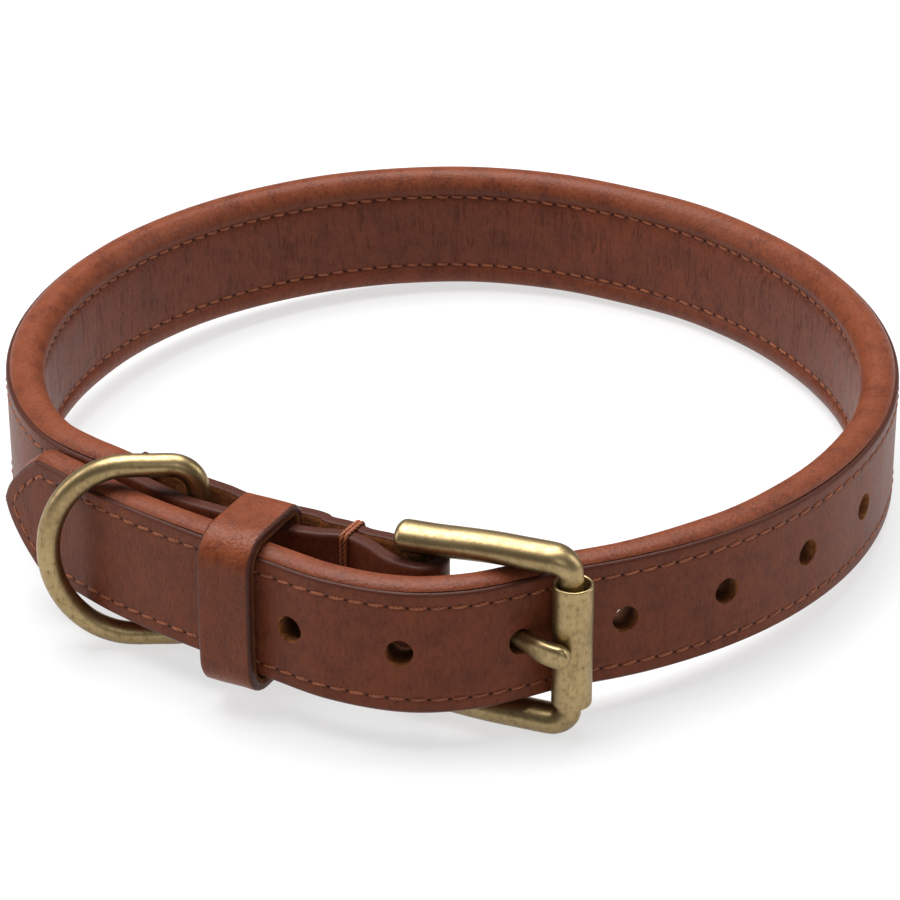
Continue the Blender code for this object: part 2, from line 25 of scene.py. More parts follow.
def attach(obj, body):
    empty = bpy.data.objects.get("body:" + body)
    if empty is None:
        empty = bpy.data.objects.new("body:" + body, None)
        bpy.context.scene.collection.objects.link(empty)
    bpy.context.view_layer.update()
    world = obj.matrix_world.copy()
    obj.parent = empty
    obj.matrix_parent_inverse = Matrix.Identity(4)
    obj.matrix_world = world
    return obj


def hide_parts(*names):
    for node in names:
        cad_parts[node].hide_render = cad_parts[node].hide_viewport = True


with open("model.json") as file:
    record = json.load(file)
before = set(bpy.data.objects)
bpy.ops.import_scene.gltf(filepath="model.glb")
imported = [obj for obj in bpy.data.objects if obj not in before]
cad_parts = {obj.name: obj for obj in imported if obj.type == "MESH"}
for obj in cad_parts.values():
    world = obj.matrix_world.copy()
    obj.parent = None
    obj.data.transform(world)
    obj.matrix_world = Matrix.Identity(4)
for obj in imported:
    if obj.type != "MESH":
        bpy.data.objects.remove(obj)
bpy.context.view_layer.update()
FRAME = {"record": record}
LOG = logging.getLogger("collar")

Colour = tuple[float, float, float]
Row = tuple[float, ...]
Surface = Callable[[np.ndarray], np.ndarray]
# Painted distances and bump heights are in millimetres.
MILLIMETRES = 1000.0
# Points round a thread and the strands that show on it.
THREAD_SIDES = 9
STRANDS = 3.0
# Depth of the stitches' bed below the strip's outer face.
STITCH_SUNK = 0.00012
# Distance from a row of stitches that counts as away from it.
FAR_OFF = 0.01


class Body(Enum):
    """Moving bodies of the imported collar."""

    COLLAR = "collar"
    RING = "ring"


class Slot(Enum):
    """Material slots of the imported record."""

    STRAP = "strap_leather"
    LINING = "lining_leather"
    BRASS = "antique_brass"


class Facing(Enum):
    """Which face of the sewn strap a row of stitches lies on."""

    OUTSIDE = 1.0
    NECK = -1.0


@dataclass(frozen=True)
class Reading:
    """A number read off the surface, so that shader sums can be written as sums."""

    sheet: NodeSheet
    socket: bpy.types.NodeSocket

    def maths(self, operation: str, *others: Reading | float) -> Reading:
        """Applies one Math node.

        Args:
            operation: the Math node's operation.
            others: the second and third inputs.

        Returns:
            The node's result.
        """
        sockets = dict(enumerate((self, *others)))
        return self.sheet.read("ShaderNodeMath", {"operation": operation}, sockets)

    def swapped(self, operation: str, other: float) -> Reading:
        """Applies one Math node with the plain number first."""
        return self.sheet.read("ShaderNodeMath", {"operation": operation}, {0: other, 1: self})

    def __add__(self, other: Reading | float) -> Reading:
        """Sum."""
        return self.maths("ADD", other)

    def __sub__(self, other: Reading | float) -> Reading:
        """Difference."""
        return self.maths("SUBTRACT", other)

    def __rsub__(self, other: float) -> Reading:
        """Difference from a plain number."""
        return self.swapped("SUBTRACT", other)

    def __mul__(self, other: Reading | float) -> Reading:
        """Product."""
        return self.maths("MULTIPLY", other)

    def __abs__(self) -> Reading:
        """Size without sign."""
        return self.maths("ABSOLUTE")

    def spread(self, low: float, high: float) -> Reading:
        """Smooth step from 0 at low to 1 at high."""
        settings = {"interpolation_type": "SMOOTHSTEP"}
        return self.sheet.read("ShaderNodeMapRange", settings, {0: self, 1: low, 2: high})


class NodeSheet:
    """One procedural material while its nodes are being written."""

    def __init__(self, name: str) -> None:
        """Starts a material with its Principled shader.

        Args:
            name: the material's name.
        """
        self.material = bpy.data.materials.new(name)
        self.material.use_nodes = True
        self.tree = self.material.node_tree
        self.shader = self.tree.nodes["Principled BSDF"]
        self.place = self.node("ShaderNodeTexCoord", {}, {}).outputs["Object"]

    def node(self, kind: str, settings: dict, sockets: dict) -> bpy.types.Node:
        """Adds one node.

        Args:
            kind: the node's type.
            settings: its properties, set before its sockets.
            sockets: values, readings or links by socket name or number.

        Returns:
            The node.
        """
        made = self.tree.nodes.new(kind)
        for key, value in settings.items():
            setattr(made, key, value)
        self.feed(made, sockets)
        return made

    def feed(self, node: bpy.types.Node, sockets: dict) -> None:
        """Sets or links a node's sockets by name or number.

        Args:
            node: the node.
            sockets: values, readings or links by name or number.
        """
        for key, value in sockets.items():
            if isinstance(value, Reading):
                self.tree.links.new(value.socket, node.inputs[key])
            elif isinstance(value, bpy.types.NodeSocket):
                self.tree.links.new(value, node.inputs[key])
            elif isinstance(value, tuple) and len(value) == 3 and node.inputs[key].type == "RGBA":
                node.inputs[key].default_value = (*value, 1.0)
            else:
                node.inputs[key].default_value = value

    def read(self, kind: str, settings: dict, sockets: dict) -> Reading:
        """Adds one node and reads its first output."""
        return Reading(self, self.node(kind, settings, sockets).outputs[0])

    def stretched(self, stretch: Row) -> bpy.types.NodeSocket:
        """Object place with each axis scaled."""
        settings = {"operation": "MULTIPLY"}
        return self.node("ShaderNodeVectorMath", settings, {0: self.place, 1: stretch}).outputs[0]

    def noise(self, scale: float, detail: float = 2.0, stretch: Row = (1.0, 1.0, 1.0),
              twist: float = 0.0) -> Reading:
        """Cloudy noise.

        Args:
            scale: patches in a metre.
            detail: octaves.
            stretch: factor on each axis.
            twist: distortion.

        Returns:
            A value around 0.5.
        """
        sockets = {"Vector": self.stretched(stretch), "Scale": scale, "Detail": detail,
                   "Distortion": twist}
        return self.read("ShaderNodeTexNoise", {}, sockets)

    def cells(self, scale: float) -> Reading:
        """Distance inside small cells, for pores."""
        return self.read("ShaderNodeTexVoronoi", {}, {"Vector": self.place, "Scale": scale})

    def mark(self, name: str) -> Reading:
        """Number painted on the mesh under a name."""
        settings = {"attribute_type": "GEOMETRY", "attribute_name": name}
        return Reading(self, self.node("ShaderNodeAttribute", settings, {}).outputs["Fac"])

    def blend(self, share: Reading | float, first: Colour | bpy.types.NodeSocket,
              second: Colour | bpy.types.NodeSocket) -> bpy.types.NodeSocket:
        """Mixes two colours.

        Args:
            share: 0 for the first colour, 1 for the second.
            first: colour or link.
            second: colour or link.

        Returns:
            The mixed colour's socket.
        """
        sockets = {0: share, 6: first, 7: second}
        return self.node("ShaderNodeMix", {"data_type": "RGBA"}, sockets).outputs[2]

    def finish(self, colour: bpy.types.NodeSocket, roughness: Reading | float, height: Reading,
               fixed: dict) -> bpy.types.Material:
        """Feeds the shader.

        Args:
            colour: base colour.
            roughness: value or reading.
            height: relief in millimetres.
            fixed: plain values for the shader's other sockets.

        Returns:
            The material.
        """
        bump = self.node("ShaderNodeBump", {}, {"Strength": 1.0, "Distance": 1.0 / MILLIMETRES,
                                                "Height": height})
        self.feed(self.shader, {"Base Color": colour, "Roughness": roughness,
                                "Normal": bump.outputs[0]})
        self.feed(self.shader, fixed)
        return self.material


@dataclass(frozen=True)
class WaxedLeather:
    """Smooth waxed leather with pores, creases across the strip and burnished edges; painted shade
    darkens its creases, the groove of its stitch row and its stitch holes.
    """

    name: str
    brown: Colour
    tan: Colour
    shade: Colour
    grain: float
    shine: float
    pull: Colour = (0.190, 0.0500, 0.0200)
    edge: Colour = (0.058, 0.0170, 0.0105)
    slit: Colour = (0.012, 0.004, 0.003)
    rough: float = 0.42
    crease_shade: float = 0.30

    def make(self) -> bpy.types.Material:
        """Builds the material.

        Returns:
            The material.
        """
        sheet = NodeSheet(self.name)
        cloud = sheet.noise(38.0, 2.0)
        mottle = sheet.noise(210.0, 5.0)
        fibre = sheet.noise(1500.0, 4.0, (1.0, 1.0, 0.42), 0.5)
        grain = sheet.noise(2300.0, 3.0)
        pores = sheet.cells(1500.0)
        line = abs(sheet.noise(480.0, 3.0, (1.0, 1.0, 0.11), 0.30) - 0.5)
        short = sheet.noise(260.0, 2.0).spread(0.42, 0.60)
        wrinkle = (1.0 - line.spread(0.001, 0.026)) * short * sheet.mark("worn")
        warm = (cloud * 0.20 + mottle * 0.35 + fibre * 0.45).spread(0.34, 0.68)
        colour = sheet.blend(warm, self.brown, self.tan)
        colour = sheet.blend(mottle.spread(0.52, 0.30) * 0.22, colour, self.shade)
        colour = sheet.blend(fibre.spread(0.46, 0.30) * 0.22, colour, self.shade)
        # Painted shade: creases are darkened towards the shade colour.
        colour = sheet.blend(wrinkle * self.crease_shade, colour, self.shade)
        vein = 1.0 - abs(sheet.noise(850.0, 3.0, (1.0, 1.0, 0.45), 0.4) - 0.5).spread(0.0, 0.022)
        colour = sheet.blend(vein * 0.30, colour, self.pull)
        pulled = (mottle * 0.45 + fibre * 0.55).spread(0.30, 0.66)
        colour = sheet.blend(sheet.mark("pull") * pulled, colour, self.pull)
        burnish = sheet.mark("burnish")
        colour = sheet.blend((burnish + (mottle - 0.5) * 0.5 * burnish).spread(0.05, 0.95),
                             colour, self.edge)
        off = abs(sheet.mark("row_off"))
        beat = sheet.mark("row_beat").maths("PINGPONG", 0.5)
        hole = (1.0 - off.spread(0.10, 0.30)) * (1.0 - beat.spread(0.035, 0.100))
        # Painted shade: the leather darkens along the sunken groove of the stitch row.
        dip = 1.0 - off.spread(0.15, 0.85)
        colour = sheet.blend(dip * 0.30, colour, self.shade)
        # Painted shade: near-black slits stand for the dark stitch holes.
        colour = sheet.blend(hole * 0.70, colour, self.slit)
        rough = (mottle - 0.5) * 0.14 + (grain - 0.5) * 0.12 + self.rough + hole * 0.3
        height = (mottle * 0.06 * self.grain + fibre * 0.028 + grain * 0.028 * self.grain
                  - pores * 0.034 * self.grain - wrinkle * 0.10 - hole * 0.30)
        return sheet.finish(colour, rough, height, {"Specular IOR Level": self.shine})


@dataclass(frozen=True)
class RawLeather:
    """Cut or flesh side of leather: matt, fibrous, orange-brown, with painted shade darkening it
    inside its holes and on its hidden faces.
    """

    name: str
    pale: Colour
    deep: Colour
    hollow_shade: Colour

    def make(self) -> bpy.types.Material:
        """Builds the material.

        Returns:
            The material.
        """
        sheet = NodeSheet(self.name)
        nap = sheet.noise(900.0, 4.0, twist=0.6)
        fluff = sheet.noise(3200.0, 3.0)
        patch = sheet.noise(160.0, 2.0)
        colour = sheet.blend((nap * 0.6 + patch * 0.4).spread(0.34, 0.66), self.deep, self.pale)
        # Painted shade: the sunk mark darkens raw leather towards near-black.
        colour = sheet.blend(sheet.mark("sunk") * 0.85, colour, self.hollow_shade)
        height = nap * 0.22 + fluff * 0.08
        return sheet.finish(colour, 0.92, height, {"Specular IOR Level": 0.15})


@dataclass(frozen=True)
class WaxedThread:
    """Twisted waxed thread, with painted shade darkening the grooves between its strands."""

    name: str
    bright: Colour
    dark: Colour

    def make(self) -> bpy.types.Material:
        """Builds the material.

        Returns:
            The material.
        """
        sheet = NodeSheet(self.name)
        fuzz = sheet.noise(2600.0, 3.0)
        patch = sheet.noise(240.0, 2.0)
        groove = sheet.mark("groove")
        # Painted shade: the grooves between strands are darkened.
        colour = sheet.blend((groove + (fuzz - 0.5) * 0.8 + (patch - 0.5) * 0.9).spread(0.1, 0.95),
                             self.bright, self.dark)
        return sheet.finish(colour, 0.62, fuzz * 0.05 - groove * 0.05,
                            {"Specular IOR Level": 0.35})


@dataclass(frozen=True)
class AntiqueBrass:
    """Satin brass, browned in its pits and rubbed bright on its rims, with painted shade browning
    its downward faces.
    """

    name: str
    bright: Colour
    aged: Colour
    brown: Colour
    rough: float

    def make(self) -> bpy.types.Material:
        """Builds the material.

        Returns:
            The material.
        """
        sheet = NodeSheet(self.name)
        cloud = sheet.noise(110.0, 3.0)
        speck = sheet.noise(900.0, 6.0)
        brushed = sheet.noise(3400.0, 3.0, (1.0, 1.0, 0.2))
        rim, low = sheet.mark("rim"), sheet.mark("low")
        aged = (cloud * 0.45 + speck * 0.35 + brushed * 0.20).spread(0.36, 0.64)
        colour = sheet.blend(aged, self.bright, self.aged)
        stained = (speck * 0.6 + brushed * 0.4).spread(0.52, 0.72)
        colour = sheet.blend(stained * 0.60, colour, self.brown)
        # Painted shade: faces turned downward are browned.
        colour = sheet.blend(low.spread(0.35, 1.0) * 0.55, colour, self.brown)
        colour = sheet.blend(rim.spread(0.15, 0.9) * 0.6, colour, self.bright)
        rough = (speck - 0.5) * 0.12 + self.rough + stained * 0.08 - rim * 0.05
        height = speck * 0.003 + brushed * 0.002 + cloud * 0.04
        return sheet.finish(colour, rough, height, {"Metallic": 1.0})


@dataclass(frozen=True)
class PaleFloor:
    """Plain white studio floor, lit a little from below as a light table is."""

    name: str
    white: Colour
    glow: float

    def make(self) -> bpy.types.Material:
        """Builds the material.

        Returns:
            The material.
        """
        sheet = NodeSheet(self.name)
        haze = sheet.noise(3.0, 2.0)
        colour = sheet.blend(haze, self.white, tuple(0.985 * part for part in self.white))
        fixed = {"Specular IOR Level": 0.1, "Emission Color": self.white,
                 "Emission Strength": self.glow}
        return sheet.finish(colour, 0.8, haze * 0.01, fixed)


@dataclass(frozen=True)
class StripPlan:
    """Sizes of the strip and its way round the neck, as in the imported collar."""

    width: float = 0.0250
    thick: float = 0.0027
    loop_radius: float = 0.0905
    gap: float = 0.0003
    lining_thick: float = 0.0040
    tip_lining_thick: float = 0.0030
    roll_stand: float = 0.0016
    tail_roll_stand: float = 0.0013
    tip_length: float = 0.0108
    tip_shape: float = 0.62
    tip_start: float = 0.0002
    tip_angle: float = -155.3
    lining_end_angle: float = 222.0
    strap_end_angle: float = 218.0
    d_bar_angle: float = 231.3
    keeper_angle: float = 244.0
    heel_angle: float = 264.4
    heel_bar: float = 0.0038
    d_wire: float = 0.0045
    keeper_thick: float = 0.0024
    keeper_ease: float = 0.0007
    leg_ease: float = 0.0004
    leg_thick: float = 0.0054
    fold_slack: float = 0.0013
    hole_count: int = 7
    hole_diameter: float = 0.0050
    hole_pitch: float = 0.0215
    tongue_hole: int = 2
    tongue_hole_angle: float = -82.7
    tongue_hole_lean: float = 0.66
    pared_depth: float = 0.00150
    pared_edge: float = 0.0002
    pared_width: float = 0.0034
    # Angle round the neck in degrees, distance of the outer face beyond the loop radius.
    face_rows: tuple[Row, ...] = (
        (-155.3, 0.0056), (-149.0, 0.0029), (-143.6, 0.0010), (-137.0, 0.0001),
        (-128.0, -0.0006), (-120.0, -0.0001), (-111.0, 0.0027), (-104.0, 0.0058),
        (-95.0, 0.0079), (-88.0, 0.0067), (-82.0, 0.0038), (-77.0, 0.0016),
        (-70.0, 0.0010), (-60.0, 0.0008), (-30.0, 0.0004), (0.0, -0.0005),
        (30.0, -0.0014), (60.0, -0.0006), (90.0, 0.0013), (120.0, 0.0008),
        (150.0, 0.0003), (180.0, 0.0001), (195.6, -0.0007), (205.2, -0.0022),
        (211.0, -0.0045), (217.0, -0.0071), (223.0, -0.0086), (231.3, -0.0089),
        (238.0, -0.0099), (242.0, -0.0100), (249.0, -0.0100), (252.0, -0.0103),
        (255.2, -0.0109), (258.5, -0.0085), (262.0, -0.0040), (265.3, -0.0018),
        (268.5, -0.0016),
    )

    @property
    def middle(self) -> float:
        """Half the strip's width."""
        return self.width / 2

    @property
    def tail_half(self) -> float:
        """Half height of the tail with its rolls."""
        return self.middle + self.tail_roll_stand

    @property
    def space_rows(self) -> tuple[Row, ...]:
        """Angle in degrees, clear space between the two layers behind the tail.

        Returns:
            Rows of angle and space.
        """
        lining = self.lining_thick + 2 * self.gap
        wire = self.d_wire + 2 * self.gap
        loop = self.keeper_thick + 2 * self.keeper_ease
        bar = self.heel_bar + 2 * self.gap
        return (
            (self.strap_end_angle - 4, lining),
            (self.lining_end_angle, lining),
            (self.d_bar_angle - 3, wire),
            (self.d_bar_angle + 3, wire),
            (self.keeper_angle - 5, loop),
            (self.keeper_angle + 6, loop),
            (255.5, 2 * self.gap),
            (257.0, 2 * self.gap),
            (self.heel_angle - 3, bar),
            (self.heel_angle, bar),
        )

    def face_point(self, angle: float) -> np.ndarray:
        """Point of the outer face in plan.

        Args:
            angle: degrees round the neck.

        Returns:
            The plan point.
        """
        radius = self.loop_radius + hermite(self.face_rows, angle)
        turn = math.radians(angle)
        return np.array([radius * math.cos(turn), radius * math.sin(turn)])

    def face_frame(self, angle: float) -> tuple[np.ndarray, np.ndarray, np.ndarray]:
        """Point, forward and outward directions of the outer face at an angle.

        Args:
            angle: degrees round the neck.

        Returns:
            Point, unit forward and unit outward directions.
        """
        step = 0.05
        ahead = self.face_point(min(angle + step, self.face_rows[-1][0]))
        behind = self.face_point(max(angle - step, self.face_rows[0][0]))
        along = (ahead - behind) / np.linalg.norm(ahead - behind)
        return self.face_point(angle), along, np.array([along[1], -along[0]])

    def inward(self, angle: float, depth: float) -> np.ndarray:
        """Point at a depth behind the outer face."""
        point, _, outward = self.face_frame(angle)
        return point - outward * depth

    @property
    def heel_centre(self) -> np.ndarray:
        """Plan centre of the heel bar."""
        return self.inward(self.heel_angle, self.thick + self.gap + self.heel_bar / 2)

    @property
    def d_bar_centre(self) -> np.ndarray:
        """Plan centre of the D-ring's straight bar."""
        return self.inward(self.d_bar_angle, self.thick + self.gap + self.d_wire / 2)

    def mid_line(self) -> np.ndarray:
        """Plan line through the middle of the strip, from its tip to its turned-back end.

        Returns:
            Plan points.
        """
        half = self.thick / 2
        line = [self.inward(angle, half)
                for angle in np.arange(self.tip_angle, self.heel_angle, 0.25)]
        _, along, outward = self.face_frame(self.heel_angle)
        centre = self.heel_centre + along * self.fold_slack
        bend = self.heel_bar / 2 + self.gap + half
        for turn in np.linspace(-90.0, 90.0, 37):
            swing = math.radians(turn)
            line.append(centre + along * bend * math.cos(swing)
                        - outward * bend * math.sin(swing))
        for angle in np.arange(self.heel_angle, self.strap_end_angle, -0.25):
            depth = self.thick + hermite(self.space_rows, angle) + half
            line.append(self.inward(angle, depth))
        return np.array(line)

    def tip_share(self, run: np.ndarray) -> np.ndarray:
        """Share of the full half width at a run from the tip."""
        near = np.clip(run, self.tip_start * 0.1, self.tip_length)
        return (near / self.tip_length) ** self.tip_shape

    def pared(self, inset: np.ndarray) -> np.ndarray:
        """How far the strip's back is pared away towards its edge, to bed the lining's roll."""
        return self.pared_depth * (1.0 - ease(inset, self.pared_edge, self.pared_width))


def hermite(rows: tuple[Row, ...], value: float) -> float:
    """Smooth value of a two-column table at one place.

    Args:
        rows: place and value, in order of place.
        value: the place asked for.

    Returns:
        The value there.
    """
    count = len(rows)
    index = 0
    while index < count - 2 and value > rows[index + 1][0]:
        index += 1
    start, end = rows[index], rows[index + 1]
    span = end[0] - start[0]
    before = rows[max(index - 1, 0)]
    after = rows[min(index + 2, count - 1)]
    slope_start = (end[1] - before[1]) / (end[0] - before[0])
    slope_end = (after[1] - start[1]) / (after[0] - start[0])
    t = (value - start[0]) / span
    first = (2 * t**3 - 3 * t**2 + 1) * start[1] + (t**3 - 2 * t**2 + t) * span * slope_start
    second = (-2 * t**3 + 3 * t**2) * end[1] + (t**3 - t**2) * span * slope_end
    return first + second


def ease(value: np.ndarray, low: float, high: float) -> np.ndarray:
    """Smooth step from 0 at low to 1 at high."""
    share = np.clip((value - low) / (high - low), 0.0, 1.0)
    return share * share * (3.0 - 2.0 * share)


def rounding(inset: np.ndarray, radius: float) -> np.ndarray:
    """Drop of a face towards its rounded edge."""
    near = np.clip(radius - inset, 0.0, radius)
    return radius - np.sqrt(radius**2 - near**2)


def ripple(first: np.ndarray, second: np.ndarray, seed: float) -> np.ndarray:
    """Smooth value noise over two numbers, from -1 to 1, the same on every run.

    Args:
        first: the first number.
        second: the second number.
        seed: which noise.

    Returns:
        The noise.
    """
    def lattice(left: np.ndarray, right: np.ndarray) -> np.ndarray:
        """Fixed scatter of a lattice point."""
        raw = np.sin(left * 127.1 + right * 311.7 + seed * 74.7) * 43758.5453
        return (raw - np.floor(raw)) * 2.0 - 1.0

    left, right = np.floor(first), np.floor(second)
    along, across = first - left, second - right
    along = along * along * (3.0 - 2.0 * along)
    across = across * across * (3.0 - 2.0 * across)
    near = lattice(left, right) * (1 - along) + lattice(left + 1, right) * along
    far = lattice(left, right + 1) * (1 - along) + lattice(left + 1, right + 1) * along
    return near * (1 - across) + far * across


class PlanPath:
    """Plan line measured by the run along it."""

    def __init__(self, points: np.ndarray) -> None:
        """Keeps the points that differ and their runs.

        Args:
            points: plan points in order.
        """
        steps = np.linalg.norm(np.diff(points, axis=0), axis=1)
        self.points = points[np.concatenate([[True], steps > 1e-6])]
        steps = np.linalg.norm(np.diff(self.points, axis=0), axis=1)
        self.run = np.concatenate([[0.0], np.cumsum(steps)])
        self.length = float(self.run[-1])

    def at(self, run: np.ndarray | float) -> np.ndarray:
        """Plan points at runs."""
        return np.stack([np.interp(run, self.run, self.points[:, 0]),
                         np.interp(run, self.run, self.points[:, 1])], axis=-1)

    def frames(self, run: np.ndarray | float, step: float = 0.0006) -> tuple[np.ndarray, ...]:
        """Points, forward and outward directions at runs.

        Args:
            run: runs.
            step: how far each way the direction is taken over.

        Returns:
            Points, unit forward and unit outward directions.
        """
        ahead = self.at(np.minimum(run + step, self.length))
        behind = self.at(np.maximum(run - step, 0.0))
        along = ahead - behind
        along = along / np.linalg.norm(along, axis=-1, keepdims=True)
        return self.at(run), along, np.stack([along[..., 1], -along[..., 0]], axis=-1)

    def nearest(self, point: np.ndarray, limit: float) -> float:
        """Run of the point nearest to a place, up to a limit.

        Args:
            point: plan place.
            limit: the largest run looked at.

        Returns:
            The run.
        """
        inside = self.run <= limit
        apart = np.linalg.norm(self.points[inside] - point, axis=1)
        return float(self.run[inside][int(np.argmin(apart))])


class CollarSpace:
    """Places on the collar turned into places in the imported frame."""

    def __init__(self, plan: StripPlan) -> None:
        """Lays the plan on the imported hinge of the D-ring.

        Args:
            plan: the strip's plan.
        """
        self.plan = plan
        self.path = PlanPath(plan.mid_line())
        hinge = FRAME["record"]["behaviour"]["joints"][0]
        turn = Vector((0.0, 0.0, 1.0)).rotation_difference(Vector(hinge["axis"])).to_matrix()
        bar = plan.d_bar_centre
        self.rest = (Matrix.Translation(Vector(hinge["pos_m"])) @ turn.to_4x4()
                     @ Matrix.Translation(Vector((-bar[0], -bar[1], -plan.middle))))
        self.turn = np.array(self.rest.to_3x3())
        self.shift = np.array(self.rest.translation)
        self.lining_end = self.path.nearest(
            plan.inward(plan.lining_end_angle, plan.thick / 2), self.path.length * 0.84)
        self.tail_end = self.path.nearest(
            plan.inward(-70.0, plan.thick / 2), self.path.length * 0.3)

    def world(self, flat: np.ndarray) -> np.ndarray:
        """Turns places in the collar's own plane into places in the frame."""
        return flat @ self.turn.T + self.shift

    def over(self, flat: np.ndarray, rise: np.ndarray) -> np.ndarray:
        """Frame places of plan points at rises from the strip's middle height."""
        tall = np.broadcast_to(self.plan.middle + rise, (*flat.shape[:-1], 1))
        return self.world(np.concatenate([flat, tall], axis=-1))

    def on_strip(self, run: np.ndarray, depth: np.ndarray, rise: np.ndarray) -> np.ndarray:
        """Frame places of runs, depths and rises on the strip.

        Args:
            run: runs from the tip.
            depth: depths out of the strip's middle.
            rise: rises from its middle height.

        Returns:
            The places.
        """
        run, depth, rise = np.broadcast_arrays(run, depth, rise)
        point, _, outward = self.path.frames(run)
        return self.over(point + outward * depth[..., None], rise[..., None])

    def axes(self, run: np.ndarray) -> tuple[np.ndarray, np.ndarray, np.ndarray]:
        """Forward, outward and upward directions in the frame at runs.

        Args:
            run: runs from the tip.

        Returns:
            The three unit directions.
        """
        _, along, outward = self.path.frames(run)
        level = np.zeros((*along.shape[:-1], 1))
        forward = np.concatenate([along, level], axis=-1) @ self.turn.T
        out = np.concatenate([outward, level], axis=-1) @ self.turn.T
        up = np.broadcast_to(self.turn[:, 2], forward.shape)
        return forward, out, up

    def holes(self) -> list[float]:
        """Runs of the adjustment holes.

        Returns:
            A run for each hole, from the tip.
        """
        plan = self.plan
        middle = self.path.nearest(plan.inward(plan.tongue_hole_angle, plan.thick / 2),
                                   self.path.length * 0.4)
        return [middle + plan.hole_pitch * (index - plan.tongue_hole)
                for index in range(plan.hole_count)]


def skin(name: str, rings: np.ndarray, looped: bool = False) -> bpy.types.Mesh:
    """Skins rings of points into a closed mesh.

    Args:
        name: the mesh's name.
        rings: places by ring and point.
        looped: joins the last ring to the first in place of end caps.

    Returns:
        The mesh, its faces outward.
    """
    rows, count, _ = rings.shape
    number = np.arange(rows * count).reshape(rows, count)
    here = number if looped else number[:-1]
    beyond = np.roll(number, -1, axis=0) if looped else number[1:]
    quads = np.stack([here, np.roll(here, -1, axis=1), np.roll(beyond, -1, axis=1), beyond],
                     axis=-1).reshape(-1, 4)
    points = rings.reshape(-1, 3)
    corners = points[quads]
    volume = np.einsum("ij,ij->i", corners[:, 0] - points[0],
                       np.cross(corners[:, 1] - points[0], corners[:, 2] - points[0])).sum()
    volume += np.einsum("ij,ij->i", corners[:, 0] - points[0],
                        np.cross(corners[:, 2] - points[0], corners[:, 3] - points[0])).sum()
    faces = quads.tolist()
    if not looped:
        faces += [number[0][::-1].tolist(), number[-1].tolist()]
    if volume < 0:
        faces = [face[::-1] for face in faces]
    mesh = bpy.data.meshes.new(name)
    mesh.from_pydata(points.tolist(), [], faces)
    return mesh


def painted(mesh: bpy.types.Mesh, name: str, values: np.ndarray) -> None:
    """Writes one number for each corner point of a mesh."""
    layer = mesh.attributes.new(name, "FLOAT", "POINT")
    layer.data.foreach_set("value", np.ascontiguousarray(values, dtype=np.float32).ravel())


def marked(mesh: bpy.types.Mesh, **marks: np.ndarray | float) -> None:
    """Paints several marks, a plain number all over and an array point by point.

    Args:
        mesh: the mesh.
        marks: the numbers by name.
    """
    count = len(mesh.vertices)
    for name, values in marks.items():
        painted(mesh, name, values if isinstance(values, np.ndarray) else np.full(count, values))


def shaded(mesh: bpy.types.Mesh, sharp: float | None = None) -> None:
    """Shades a mesh smooth, keeping edges sharper than an angle in degrees.

    Args:
        mesh: the mesh.
        sharp: the angle, or None for no sharp edges.
    """
    mesh.polygons.foreach_set("use_smooth", [True] * len(mesh.polygons))
    if sharp is not None:
        mesh.set_sharp_from_angle(angle=math.radians(sharp))
    mesh.update()


def finished(mesh: bpy.types.Mesh, *materials: bpy.types.Material) -> None:
    """Gives a mesh its materials in order."""
    for material in materials:
        mesh.materials.append(material)


def paint_downward_shade(mesh: bpy.types.Mesh) -> None:
    """Paints how far each point of a metal mesh faces down, for painted shade that browns its
    lower faces.

    Args:
        mesh: a shaded metal mesh.
    """
    normals = np.empty(len(mesh.vertices) * 3)
    mesh.vertices.foreach_get("normal", normals)
    painted(mesh, "low", 0.5 - 0.5 * normals.reshape(-1, 3)[:, 2])


def mesh_points(mesh: bpy.types.Mesh) -> np.ndarray:
    """Corner points of a mesh.

    Args:
        mesh: the mesh.

    Returns:
        One row of three for each point.
    """
    flat = np.empty(len(mesh.vertices) * 3)
    mesh.vertices.foreach_get("co", flat)
    return flat.reshape(-1, 3)


def joined(name: str, meshes: list[bpy.types.Mesh]) -> bpy.types.Mesh:
    """Puts several meshes with the same painted numbers into one.

    Args:
        name: the new mesh's name.
        meshes: the meshes, which are used up.

    Returns:
        The whole mesh.
    """
    points, faces, base = [], [], 0
    marks: dict[str, list[float]] = {}
    for mesh in meshes:
        points += [tuple(corner.co) for corner in mesh.vertices]
        faces += [[base + corner for corner in face.vertices] for face in mesh.polygons]
        base += len(mesh.vertices)
        for layer in mesh.attributes:
            if layer.data_type == "FLOAT" and layer.domain == "POINT":
                marks.setdefault(layer.name, []).extend(item.value for item in layer.data)
        bpy.data.meshes.remove(mesh)
    whole = bpy.data.meshes.new(name)
    whole.from_pydata(points, [], faces)
    for key, values in marks.items():
        painted(whole, key, np.array(values))
    return whole


def show(mesh: bpy.types.Mesh, body: Body) -> bpy.types.Object:
    """Makes a mesh a piece of the collar.

    Args:
        mesh: its mesh, already in the frame's place.
        body: the body it rides on.

    Returns:
        The piece.
    """
    piece = bpy.data.objects.new(mesh.name, mesh)
    bpy.context.scene.collection.objects.link(piece)
    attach(piece, body.value)
    LOG.info("%s: %d faces on %s", piece.name, len(mesh.polygons), body.value)
    return piece


def brass_piece(mesh: bpy.types.Mesh, body: Body, brass: bpy.types.Material,
                rim: np.ndarray | float = 0.0, sharp: float | None = None) -> bpy.types.Object:
    """Dresses a mesh in brass and makes it a piece.

    Args:
        mesh: its mesh.
        body: the body it rides on.
        brass: its material.
        rim: how far each point is rubbed bright.
        sharp: edges sharper than this many degrees stay sharp.

    Returns:
        The piece.
    """
    finished(mesh, brass)
    marked(mesh, rim=rim)
    shaded(mesh, sharp)
    paint_downward_shade(mesh)
    return show(mesh, body)


